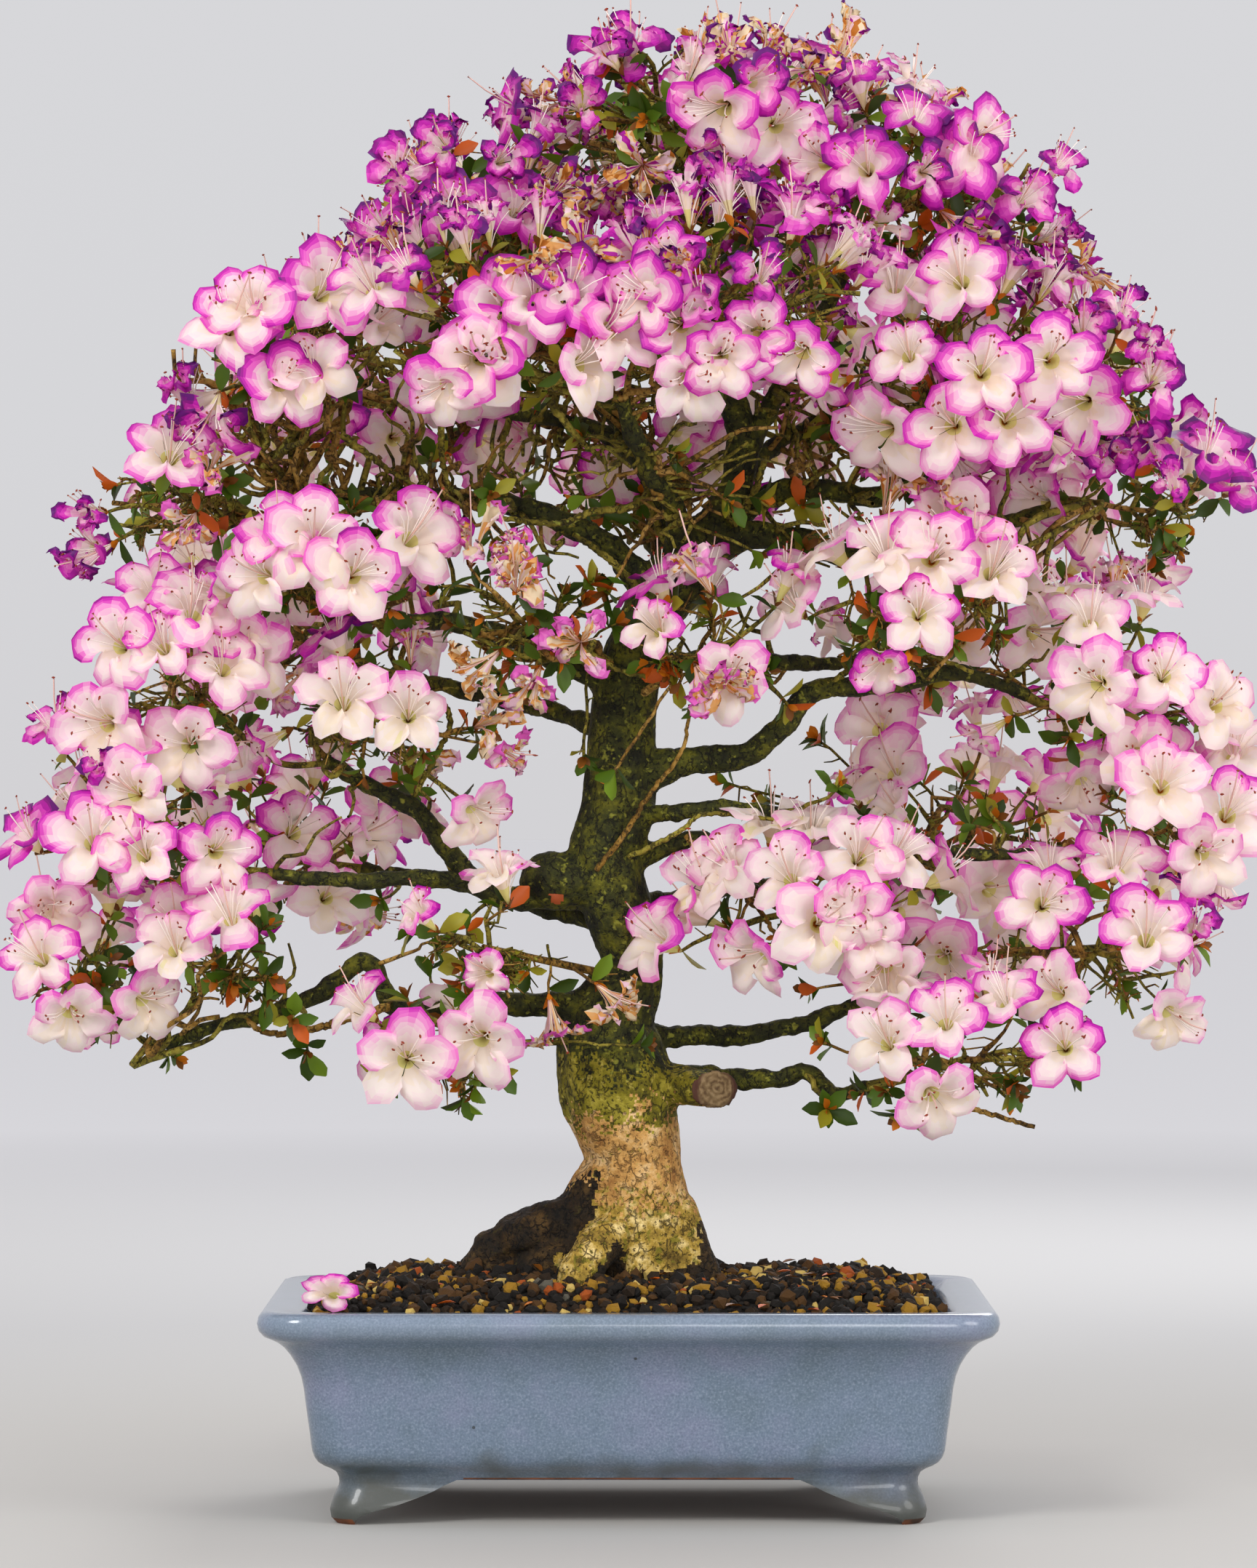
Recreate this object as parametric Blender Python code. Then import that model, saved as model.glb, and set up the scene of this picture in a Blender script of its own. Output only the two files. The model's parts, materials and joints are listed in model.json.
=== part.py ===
"""A flowering azalea bonsai in its glazed pot, at its real size, in metres with +Z up.

The pot's long side runs along X and its front faces -Y. The feet stand at z = 0.
Soil fills the pot, the trunk stands on the soil, the boughs leave the trunk, and each bough's
tip carries one or two masses of twigs, leaves and blossom. Every mass keeps to its own space.
"""

import math
import random

import bmesh
import bpy
from mathutils import Matrix, Vector
from mathutils.bvhtree import BVHTree

# Driving dimensions, metres
GAP = 0.0003  # between two pieces that touch
CUT_GAP = GAP * 1.3  # a grown surface lies a little nearer between its corners
CLEARANCE = 0.0005  # between foliage and every limb
NEARBY = 0.002  # limbs closer than this are cut to fit each other
WELD = 0.00001
CUT_PAST = 0.012  # how far a cutter runs past the face that it opens
CURVE_STEPS = 12  # steps between two of a route's points when its length is measured
POT_LENGTH = 0.450
POT_DEPTH = 0.326
POT_CORNER = 0.030  # radius of the rim's corners
POT_CORNER_SHRINK = 0.27  # how much of the wall's inset comes off the corner's radius
POT_CORNER_STEPS = 3
APRON_HEIGHT = 0.027  # underside of the pot between its feet
FLOOR_UNDERSIDE = 0.031
SKIRT_INSET = 0.063  # inner face of the skirt that the feet are cut from
FOOT_LENGTH = 0.012  # flat sole, along the pot
BRACKET_LENGTH = 0.062  # curved bracket from a sole to the level apron
SOIL_EDGE = 0.126  # where the soil meets the pot's wall
SOIL_TOP = 0.143
GROUND = SOIL_TOP + GAP

TRUNK_STATIONS = 18
ROOT_STATIONS = 5
BOUGH_EXTRA_STATIONS = 4  # more rings on a bough than the points that it passes
STEM_STATIONS = 5

BLOSSOM_RADIUS = 0.033  # larger than life, because each stands for a few
BLOSSOM_DEPTH = 0.022
BLOSSOM_THROAT = 0.008  # how far the mouth is sunk
BLOSSOM_SIZES = (1.0, 0.88, 0.76, 0.64)  # tried in turn until one has room
BLOSSOM_SEAT = 0.42  # how far up the funnel its twig ends
BLOSSOM_NOTCH = 0.66  # radius between two petals, as a part of the petals' own
BLOSSOM_ASKEW = 0.9  # a blossom that faces closer along its twig than this is turned aside
LEAF_LENGTH = 0.034
LEAF_WIDTH = 0.014
LEAF_THICK = 0.0014
LEAF_SUNK = 0.01  # how much of a leaf's length lies in its twig
LEAVES_PER_TIP = 1
LEAF_TILT = 0.2  # how far a leaf leans along its twig, either way
LEAF_SWELL = 0.08  # how far past its middle a leaf is widest, as a part of its length
LEAF_DROP = 0.012  # from a blossom back to its first leaf
LEAF_TURN = math.radians(137.5)  # from one leaf to the next, round the twig
STEM_SUNK = 0.002  # before a stem's foot is cut to fit what carries it
STEM_PART = 0.85  # a stem's radius, as a part of its bough's tip
TWIN_PART = 0.46  # the same where two stems share a tip
TRUNK_STEM_RADIUS = 0.0031
TWIN_SPREAD = 0.6  # how far the two turn away from each other
STEM_TAPER = 0.62
STEM_BENDS = (0.30, 0.65)  # where a stem's route bends, as parts of its reach
STEM_SWING = 0.08  # how far its second bend keeps to the bough's direction
STEM_FORKS_FROM = 2  # the first of its stations that carries twigs
THINNEST_STEM = 1.6  # times a twig's end
TWIG_TIP = 0.0009  # radius where a twig ends in a blossom
TWIG_POWER = 0.45  # a twig's radius grows with this power of the tips that it carries
PATH_COST = 0.35  # what a twig pays for its way back to the stem, against its own length
FORK_FROM, FORK_TO = 0.40, 0.62  # where twigs fork, as parts of the way from the centre to a tip
FORK_WANDER = 0.006
TIP_TRIES = 400
LOWEST_FACING = -0.35  # no tip looks lower than this
INWARD_FACING = 0.55  # or further back to the trunk
TIP_LIFT = 0.25  # how much each tip turns up to the light
FACING_WANDER = 0.3
TIP_SPACING = 0.054
SHELL_FROM, SHELL_TO = 0.62, 0.72  # where the tips lie between a mass's centre and its reach
REACH_SLACK = 1.2  # how far past a mass's reach a petal may stand, as the square of its part
SEED = 1801

# The pot's wall, from rim to sole: inset from the rim's outline, height
WALL_OUTSIDE = (
    (0.0060, 0.1315), (0.0015, 0.1290), (0.0000, 0.1240), (0.0025, 0.1165), (0.0122, 0.1118),
    (0.0197, 0.1036), (0.0258, 0.0905), (0.0284, 0.0739), (0.0310, 0.0546), (0.0323, 0.0446),
    (0.0358, 0.0376), (0.0433, 0.0332), (0.0483, 0.0245), (0.0450, 0.0162), (0.0428, 0.0080),
    (0.0465, 0.0000),
)
WALL_INSIDE = ((0.0220, 0.1315), (0.0300, 0.1220), (0.0370, 0.0900), (0.0400, 0.0430))
# The soil's heap, from its edge up: inset from the rim's outline, share of its rise
HEAP = ((0.0335, 0.0), (0.055, 0.45), (0.075, 0.85), (0.088, 1.0))
# A foot's bracket: part of its length, part of the apron's height
BRACKET = ((0.0, 1.0), (0.12, 0.88), (0.27, 0.71), (0.58, 0.45), (0.85, 0.28), (0.97, 0.14), (1.0, 0.0))

# The trunk, from the ground to its fork: height, sideways, back, radius
TRUNK = (
    (0.128, 0.008, 0.000, 0.046), (0.172, 0.008, 0.000, 0.037), (0.219, 0.004, 0.000, 0.0295),
    (0.262, -0.007, 0.002, 0.037), (0.300, -0.012, 0.004, 0.030), (0.335, 0.003, 0.004, 0.0190),
    (0.371, -0.006, 0.000, 0.0215), (0.405, -0.014, -0.003, 0.0240), (0.440, -0.007, -0.004, 0.0235),
    (0.495, -0.004, 0.000, 0.0200), (0.548, 0.010, 0.004, 0.0185), (0.585, 0.034, 0.004, 0.0210),
    (0.606, 0.046, 0.003, 0.0170),
)
# Roots that show above the soil: points out from the trunk, thick end, thin end
ROOTS = (
    (((-0.006, -0.004, 0.215), (-0.040, -0.006, 0.185), (-0.075, -0.004, 0.166), (-0.105, 0.002, 0.134)),
     0.024, 0.012),
    (((-0.004, -0.008, 0.200), (-0.022, -0.026, 0.172), (-0.036, -0.036, 0.146), (-0.044, -0.042, 0.128)),
     0.018, 0.014),
    (((0.012, -0.002, 0.205), (0.036, -0.006, 0.176), (0.050, -0.010, 0.150), (0.060, -0.012, 0.128)),
     0.017, 0.012),
    (((0.008, 0.006, 0.205), (0.020, 0.030, 0.172), (0.026, 0.050, 0.148), (0.030, 0.060, 0.128)),
     0.018, 0.012),
    (((-0.004, 0.008, 0.205), (-0.032, 0.030, 0.172), (-0.052, 0.044, 0.146), (-0.064, 0.052, 0.128)),
     0.018, 0.011),
)
KNOT_CENTRE = (-0.041, -0.004, 0.390)
KNOT_RADII = (0.026, 0.022, 0.019)
STUB = ((0.000, 0.000, 0.262), (0.034, -0.010, 0.262), (0.054, -0.036, 0.261))
STUB_RADIUS = 0.0150

# Boughs, in the order in which they are fitted: what carries it, the height where it leaves,
# the points that it passes, thick end, thin end
BOUGHS = {
    "bough_low_left": ("trunk", 0.318, (
        (-0.058, -0.004, 0.312), (-0.100, 0.000, 0.316), (-0.141, -0.005, 0.308), (-0.165, -0.010, 0.340),
        (-0.195, -0.014, 0.318), (-0.245, -0.008, 0.302), (-0.290, 0.000, 0.288)), 0.0085, 0.0042),
    "bough_knot_left": ("trunk", 0.392, (
        (-0.067, -0.008, 0.379), (-0.0975, -0.008, 0.391), (-0.122, -0.012, 0.424), (-0.160, -0.014, 0.449),
        (-0.190, -0.014, 0.466)), 0.0095, 0.0048),
    "bough_knot_low": ("bough_knot_left", 0.391, (
        (-0.128, -0.012, 0.3915), (-0.178, -0.014, 0.3900), (-0.222, -0.012, 0.3950)), 0.0062, 0.0042),
    "bough_mid_left": ("trunk", 0.512, (
        (-0.034, 0.002, 0.525), (-0.067, 0.004, 0.540), (-0.105, 0.008, 0.550), (-0.150, -0.006, 0.554)),
        0.0095, 0.0050),
    "bough_upper_left": ("trunk", 0.566, (
        (-0.012, -0.004, 0.598), (-0.060, -0.008, 0.622), (-0.130, -0.008, 0.630), (-0.205, -0.004, 0.632)),
        0.0085, 0.0048),
    "bough_leader": ("trunk", 0.598, (
        (0.070, 0.006, 0.640), (0.064, 0.008, 0.700), (0.040, 0.004, 0.750), (0.036, 0.004, 0.792)),
        0.0125, 0.0060),
    "bough_crown_left": ("trunk", 0.592, (
        (0.020, 0.004, 0.634), (-0.006, 0.004, 0.680), (-0.050, 0.004, 0.726), (-0.068, 0.000, 0.758)),
        0.0100, 0.0050),
    "bough_right_arm": ("trunk", 0.590, (
        (0.076, -0.004, 0.606), (0.116, -0.004, 0.600), (0.150, -0.004, 0.592), (0.205, 0.000, 0.606),
        (0.262, 0.006, 0.622)), 0.0105, 0.0045),
    "bough_right_high": ("trunk", 0.600, (
        (0.086, 0.004, 0.630), (0.116, 0.000, 0.636), (0.160, -0.004, 0.632), (0.200, -0.006, 0.660)),
        0.0090, 0.0050),
    "bough_crown_right": ("bough_leader", 0.655, (
        (0.090, 0.010, 0.690), (0.112, 0.008, 0.730), (0.134, 0.004, 0.768)), 0.0075, 0.0046),
    "bough_front": ("trunk", 0.586, (
        (0.026, -0.040, 0.625), (0.006, -0.074, 0.656), (-0.004, -0.092, 0.686)), 0.0080, 0.0050),
    "bough_mid_right": ("trunk", 0.450, (
        (0.030, -0.006, 0.464), (0.069, -0.006, 0.4685), (0.096, -0.008, 0.486), (0.116, -0.010, 0.509),
        (0.156, -0.014, 0.512), (0.213, -0.010, 0.520), (0.250, 0.000, 0.506)), 0.0100, 0.0042),
    "bough_right_thin": ("trunk", 0.425, (
        (0.040, -0.020, 0.436), (0.095, -0.024, 0.432), (0.156, -0.020, 0.420), (0.222, -0.014, 0.406),
        (0.288, -0.010, 0.412)), 0.0055, 0.0032),
    "bough_elbow_right": ("trunk", 0.395, (
        (0.024, -0.004, 0.411), (0.048, -0.006, 0.415), (0.066, -0.008, 0.393), (0.086, -0.010, 0.380)),
        0.0070, 0.0042),
    "bough_low_right": ("trunk", 0.272, (
        (0.045, 0.012, 0.266), (0.093, 0.004, 0.266), (0.112, 0.000, 0.270), (0.128, -0.006, 0.257),
        (0.150, -0.016, 0.262)), 0.0085, 0.0044),
    "bough_low_right_long": ("trunk", 0.292, (
        (0.040, 0.020, 0.292), (0.105, 0.030, 0.298), (0.165, 0.034, 0.318), (0.214, 0.024, 0.336)),
        0.0075, 0.0044),
    "bough_back_low_left": ("trunk", 0.362, (
        (-0.050, 0.036, 0.372), (-0.110, 0.070, 0.388), (-0.170, 0.092, 0.396)), 0.0070, 0.0044),
    "bough_back_mid_left": ("trunk", 0.480, (
        (-0.044, 0.036, 0.496), (-0.095, 0.070, 0.508), (-0.145, 0.098, 0.520)), 0.0070, 0.0044),
    "bough_back_low_right": ("trunk", 0.372, (
        (0.036, 0.036, 0.380), (0.090, 0.066, 0.388), (0.145, 0.088, 0.396)), 0.0070, 0.0044),
    "bough_back_mid_right": ("trunk", 0.520, (
        (0.050, 0.036, 0.532), (0.105, 0.072, 0.528), (0.160, 0.098, 0.530)), 0.0070, 0.0044),
    "bough_back_centre": ("trunk", 0.552, (
        (0.020, 0.040, 0.586), (0.016, 0.082, 0.616), (0.014, 0.116, 0.636)), 0.0080, 0.0050),
    "bough_back_high_left": ("bough_crown_left", 0.650, (
        (-0.020, 0.036, 0.674), (-0.062, 0.066, 0.686), (-0.096, 0.090, 0.694)), 0.0062, 0.0044),
    "bough_back_high_right": ("bough_leader", 0.640, (
        (0.090, 0.040, 0.664), (0.116, 0.066, 0.678), (0.142, 0.088, 0.690)), 0.0066, 0.0044),
}
# Masses: what carries it, its centre, how far it reaches along X, Y and Z
MASSES = {
    "mass_apex": ("bough_leader", (0.040, -0.005, 0.872), (0.115, 0.100, 0.064)),
    "mass_crown_back": ("bough_leader", (0.030, 0.140, 0.800), (0.130, 0.090, 0.075)),
    "mass_crown_left": ("bough_crown_left", (-0.100, -0.010, 0.815), (0.088, 0.095, 0.062)),
    "mass_crown_right": ("bough_crown_right", (0.175, -0.005, 0.825), (0.105, 0.100, 0.062)),
    "mass_front_left": ("bough_front", (-0.078, -0.138, 0.732), (0.084, 0.085, 0.058)),
    "mass_front_right": ("bough_front", (0.068, -0.142, 0.742), (0.084, 0.085, 0.058)),
    "mass_upper_left": ("bough_upper_left", (-0.212, -0.045, 0.722), (0.078, 0.100, 0.060)),
    "mass_left_tip": ("bough_upper_left", (-0.285, 0.000, 0.635), (0.062, 0.085, 0.050)),
    "mass_upper_right": ("bough_right_high", (0.205, -0.060, 0.705), (0.080, 0.095, 0.062)),
    "mass_upper_right_far": ("bough_right_high", (0.295, 0.010, 0.700), (0.062, 0.100, 0.060)),
    "mass_right_tip": ("bough_right_arm", (0.330, 0.010, 0.622), (0.060, 0.085, 0.048)),
    "mass_mid_right": ("bough_right_arm", (0.178, -0.065, 0.560), (0.068, 0.070, 0.048)),
    "mass_upper_back_left": ("bough_back_high_left", (-0.165, 0.140, 0.710), (0.095, 0.090, 0.070)),
    "mass_upper_back_right": ("bough_back_high_right", (0.205, 0.140, 0.705), (0.095, 0.090, 0.070)),
    "mass_upper_back": ("bough_back_centre", (0.015, 0.150, 0.670), (0.100, 0.080, 0.062)),
    "mass_mid_left": ("bough_mid_left", (-0.188, -0.060, 0.585), (0.072, 0.075, 0.046)),
    "mass_mid_left_back": ("bough_back_mid_left", (-0.215, 0.140, 0.545), (0.090, 0.090, 0.062)),
    "mass_mid_left_outer": ("bough_knot_left", (-0.282, -0.020, 0.515), (0.068, 0.090, 0.056)),
    "mass_mid_left_inner": ("bough_knot_left", (-0.158, -0.044, 0.492), (0.056, 0.058, 0.046)),
    "mass_low_left": ("bough_knot_low", (-0.298, -0.025, 0.420), (0.082, 0.090, 0.052)),
    "mass_low_left_outer": ("bough_low_left", (-0.336, 0.005, 0.330), (0.055, 0.085, 0.048)),
    "mass_low_left_inner": ("bough_low_left", (-0.245, -0.050, 0.340), (0.050, 0.060, 0.040)),
    "mass_low_left_back": ("bough_back_low_left", (-0.235, 0.140, 0.405), (0.090, 0.090, 0.062)),
    "mass_small_left": ("trunk", (-0.112, -0.062, 0.288), (0.064, 0.056, 0.044)),
    "mass_sprig_left": ("trunk", (-0.090, -0.058, 0.350), (0.064, 0.052, 0.042)),
    "mass_inner_left": ("trunk", (-0.062, -0.065, 0.558), (0.058, 0.052, 0.044)),
    "mass_inner_right": ("trunk", (0.052, -0.066, 0.535), (0.052, 0.050, 0.044)),
    "mass_mid_right_outer": ("bough_mid_right", (0.305, -0.005, 0.510), (0.085, 0.095, 0.058)),
    "mass_right_thin": ("bough_right_thin", (0.332, -0.022, 0.432), (0.060, 0.074, 0.042)),
    "mass_low_right": ("bough_elbow_right", (0.130, -0.035, 0.372), (0.074, 0.080, 0.048)),
    "mass_low_right_outer": ("bough_low_right_long", (0.285, -0.010, 0.348), (0.095, 0.090, 0.056)),
    "mass_low_right_front": ("bough_low_right", (0.208, -0.078, 0.282), (0.086, 0.076, 0.042)),
    "mass_low_right_back": ("bough_back_low_right", (0.215, 0.140, 0.410), (0.090, 0.090, 0.062)),
    "mass_mid_right_back": ("bough_back_mid_right", (0.230, 0.140, 0.555), (0.090, 0.090, 0.062)),
}
# Heights on the trunk where a mass's own stem leaves it
TRUNK_STEMS = {
    "mass_small_left": 0.292, "mass_sprig_left": 0.330, "mass_inner_left": 0.520, "mass_inner_right": 0.500,
}

GLAZE = (0.135, 0.180, 0.275, 1.0)
EARTH = (0.050, 0.034, 0.020, 1.0)
BARK = (0.130, 0.105, 0.050, 1.0)
PETAL = (0.700, 0.300, 0.560, 1.0)


def new_collection(name):
    collection = bpy.data.collections.new(name)
    bpy.context.scene.collection.children.link(collection)
    return collection


def new_material(name, colour, roughness):
    material = bpy.data.materials.new(name)
    material.use_nodes = True
    shader = material.node_tree.nodes["Principled BSDF"]
    shader.inputs["Base Color"].default_value = colour
    shader.inputs["Roughness"].default_value = roughness
    shader.inputs["Metallic"].default_value = 0.0
    material.diffuse_color = colour
    return material


def new_object(name, bm, collection):
    """Turns a bmesh into an object, with its faces pointing out."""
    bmesh.ops.recalc_face_normals(bm, faces=bm.faces)
    if bm.calc_volume(signed=True) < 0:
        bmesh.ops.reverse_faces(bm, faces=bm.faces)
    mesh = bpy.data.meshes.new(name)
    bm.to_mesh(mesh)
    bm.free()
    obj = bpy.data.objects.new(name, mesh)
    collection.objects.link(obj)
    return obj


def remove_object(obj):
    mesh = obj.data
    bpy.data.objects.remove(obj)
    bpy.data.meshes.remove(mesh)


def largest_body(mesh):
    """Keeps the largest closed body of a mesh: scraps and sealed hollows go."""
    bm = bmesh.new()
    bm.from_mesh(mesh)
    bmesh.ops.triangulate(bm, faces=bm.faces)
    left = set(bm.faces)
    bodies = []
    while left:
        front = [left.pop()]
        body = list(front)
        while front:
            face = front.pop()
            for edge in face.edges:
                for near in edge.link_faces:
                    if near in left:
                        left.remove(near)
                        front.append(near)
                        body.append(near)
        bodies.append(body)
    kept = max(bodies, key=body_volume)
    drop = [face for body in bodies if body is not kept for face in body]
    bmesh.ops.delete(bm, geom=drop, context="FACES")
    bm.to_mesh(mesh)
    bm.free()


def body_volume(faces):
    total = 0.0
    for face in faces:
        a, b, c = (vert.co for vert in face.verts)
        total += a.dot(b.cross(c)) / 6.0
    return total


def combine(target, others, operation, solver):
    """Applies one Boolean with a whole collection, whose objects are then removed."""
    group = bpy.data.collections.new("joined_in")
    CUTTERS.children.link(group)
    for obj in others:
        for holder in list(obj.users_collection):
            holder.objects.unlink(obj)
        group.objects.link(obj)
    modifier = target.modifiers.new("combine", "BOOLEAN")
    modifier.operation = operation
    modifier.solver = solver
    modifier.operand_type = "COLLECTION"
    modifier.collection = group
    graph = bpy.context.evaluated_depsgraph_get()
    old = target.data
    new = bpy.data.meshes.new_from_object(target.evaluated_get(graph))
    target.modifiers.clear()
    target.data = new
    new.name = target.name
    bpy.data.meshes.remove(old)
    for obj in list(group.objects):
        remove_object(obj)
    bpy.data.collections.remove(group)
    largest_body(new)


def grown_copy(obj, by):
    """A hidden copy whose surface stands out by a little, to cut a neighbour clear."""
    bm = bmesh.new()
    bm.from_mesh(obj.data)
    bm.normal_update()
    moves = [vert.normal * by for vert in bm.verts]
    for vert, move in zip(bm.verts, moves):
        vert.co += move
    copy = new_object(obj.name + "_clear", bm, CUTTERS)
    copy.hide_render = True
    copy.display_type = "WIRE"
    return copy


def loft(name, rings, collection):
    """A closed solid through rings of equal counts: the sections differ in size and corner."""
    bm = bmesh.new()
    loops = [[bm.verts.new(point) for point in ring] for ring in rings]
    for low, high in zip(loops, loops[1:]):
        for k in range(len(low)):
            n = (k + 1) % len(low)
            bm.faces.new((low[k], low[n], high[n], high[k]))
    bm.faces.new(loops[0])
    bm.faces.new(loops[-1])
    return new_object(name, bm, collection)


def rounded_ring(half_x, half_y, radius, z):
    points = []
    for quarter, (side_x, side_y) in enumerate(((1, 1), (-1, 1), (-1, -1), (1, -1))):
        for step in range(POT_CORNER_STEPS + 1):
            angle = (quarter + step / POT_CORNER_STEPS) * math.pi / 2
            x = side_x * (half_x - radius) + radius * math.cos(angle)
            y = side_y * (half_y - radius) + radius * math.sin(angle)
            points.append((x, y, z))
    return points


def pot_ring(inset, z):
    radius = POT_CORNER - POT_CORNER_SHRINK * inset
    return rounded_ring(POT_LENGTH / 2 - inset, POT_DEPTH / 2 - inset, radius, z)


def smooth_path(way, stations):
    """Points evenly spaced on a Catmull-Rom curve through the way's points."""
    way = [Vector(point) for point in way]
    ends = [way[0] * 2 - way[1]] + way + [way[-1] * 2 - way[-2]]
    fine = []
    for before, a, b, after in zip(ends, ends[1:], ends[2:], ends[3:]):
        for step in range(CURVE_STEPS):
            t = step / CURVE_STEPS
            fine.append(0.5 * (2 * a + (b - before) * t + (2 * before - 5 * a + 4 * b - after) * t ** 2
                               + (3 * a - before - 3 * b + after) * t ** 3))
    fine.append(way[-1])
    lengths = [0.0]
    for a, b in zip(fine, fine[1:]):
        lengths.append(lengths[-1] + (b - a).length)
    path = []
    k = 0
    for station in range(stations):
        wanted = lengths[-1] * station / (stations - 1)
        while k < len(fine) - 2 and lengths[k + 1] < wanted:
            k += 1
        share = (wanted - lengths[k]) / (lengths[k + 1] - lengths[k])
        path.append(fine[k].lerp(fine[k + 1], share))
    return path


def tapered_tube(name, path, radii, bevel_resolution, collection):
    """A bevelled curve with a radius at each point, made a closed mesh."""
    curve = bpy.data.curves.new(name, "CURVE")
    curve.dimensions = "3D"
    curve.bevel_depth = 1.0
    curve.bevel_resolution = bevel_resolution
    curve.use_fill_caps = True
    spline = curve.splines.new("POLY")
    spline.points.add(len(path) - 1)
    for point, place, radius in zip(spline.points, path, radii):
        point.co = (*place, 1.0)
        point.radius = radius
    holder = bpy.data.objects.new(name + "_curve", curve)
    collection.objects.link(holder)
    graph = bpy.context.evaluated_depsgraph_get()
    mesh = bpy.data.meshes.new_from_object(holder.evaluated_get(graph))
    bm = bmesh.new()
    bm.from_mesh(mesh)
    bmesh.ops.remove_doubles(bm, verts=bm.verts, dist=WELD)
    bpy.data.objects.remove(holder)
    bpy.data.curves.remove(curve)
    bpy.data.meshes.remove(mesh)
    return new_object(name, bm, collection)


def slab(name, low, high, collection):
    bm = bmesh.new()
    bmesh.ops.create_cube(bm, size=1.0)
    low, high = Vector(low), Vector(high)
    bmesh.ops.scale(bm, vec=high - low, verts=bm.verts)
    bmesh.ops.translate(bm, vec=(low + high) / 2, verts=bm.verts)
    return new_object(name, bm, collection)


def arch_cutter(name, half_sole, half_reach, turned):
    """The gap between two feet: an outline that follows their brackets, run right through."""
    outline = []
    for part, height in BRACKET:
        x = half_sole - BRACKET_LENGTH * (1 - part)
        outline.append((x, APRON_HEIGHT * height))
    outline.append((half_sole, -APRON_HEIGHT))
    outline = [(-x, z) for x, z in outline] + [(x, z) for x, z in reversed(outline)]
    curve = bpy.data.curves.new(name, "CURVE")
    curve.dimensions = "2D"
    curve.fill_mode = "BOTH"
    curve.extrude = half_reach
    spline = curve.splines.new("POLY")
    spline.points.add(len(outline) - 1)
    for point, (x, z) in zip(spline.points, outline):
        point.co = (x, z, 0.0, 1.0)
    spline.use_cyclic_u = True
    holder = bpy.data.objects.new(name + "_curve", curve)
    CUTTERS.objects.link(holder)
    graph = bpy.context.evaluated_depsgraph_get()
    mesh = bpy.data.meshes.new_from_object(holder.evaluated_get(graph))
    bm = bmesh.new()
    bm.from_mesh(mesh)
    bmesh.ops.remove_doubles(bm, verts=bm.verts, dist=WELD)
    upright = Matrix.Rotation(math.pi / 2, 4, "X")
    turn = Matrix.Rotation(math.pi / 2, 4, "Z") if turned else Matrix.Identity(4)
    bmesh.ops.transform(bm, matrix=turn @ upright, verts=bm.verts)
    bpy.data.objects.remove(holder)
    bpy.data.curves.remove(curve)
    bpy.data.meshes.remove(mesh)
    return new_object(name, bm, CUTTERS)


def make_pot():
    """The pot: a lofted wall, hollow above, with four bracket feet cut from its skirt."""
    pot = loft("pot", [pot_ring(inset, z) for inset, z in reversed(WALL_OUTSIDE)], PARTS)
    rim_inset, rim_height = WALL_INSIDE[0]
    inside = [pot_ring(inset, z) for inset, z in reversed(WALL_INSIDE)]
    inside.append(pot_ring(rim_inset - CUT_PAST / 2, rim_height + CUT_PAST))
    cavity = loft("cavity", inside, CUTTERS)
    under = loft("under", [pot_ring(SKIRT_INSET, z) for z in (-CUT_PAST, FLOOR_UNDERSIDE)], CUTTERS)
    sole_inset = WALL_OUTSIDE[-1][0] + FOOT_LENGTH
    front_arch = arch_cutter("front_arch", POT_LENGTH / 2 - sole_inset, POT_DEPTH, False)
    side_arch = arch_cutter("side_arch", POT_DEPTH / 2 - sole_inset, POT_LENGTH, True)
    combine(pot, [cavity, under, front_arch, side_arch], "DIFFERENCE", "EXACT")
    pot.data.materials.append(new_material("blue_grey_glaze", GLAZE, 0.25))
    return pot


def make_soil():
    """Soil up to the rim, heaped to a flat place that the trunk stands on."""
    sides = [pot_ring(inset + GAP, z) for inset, z in reversed(WALL_INSIDE) if z < SOIL_EDGE]
    floor_inset, floor_height = WALL_INSIDE[-1]
    sides[0] = pot_ring(floor_inset + GAP, floor_height + GAP)
    rise = SOIL_TOP - SOIL_EDGE
    top = [pot_ring(inset, SOIL_EDGE + rise * share) for inset, share in HEAP]
    soil = loft("soil", sides + top, PARTS)
    soil.data.materials.append(new_material("potting_soil", EARTH, 0.95))
    return soil


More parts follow.
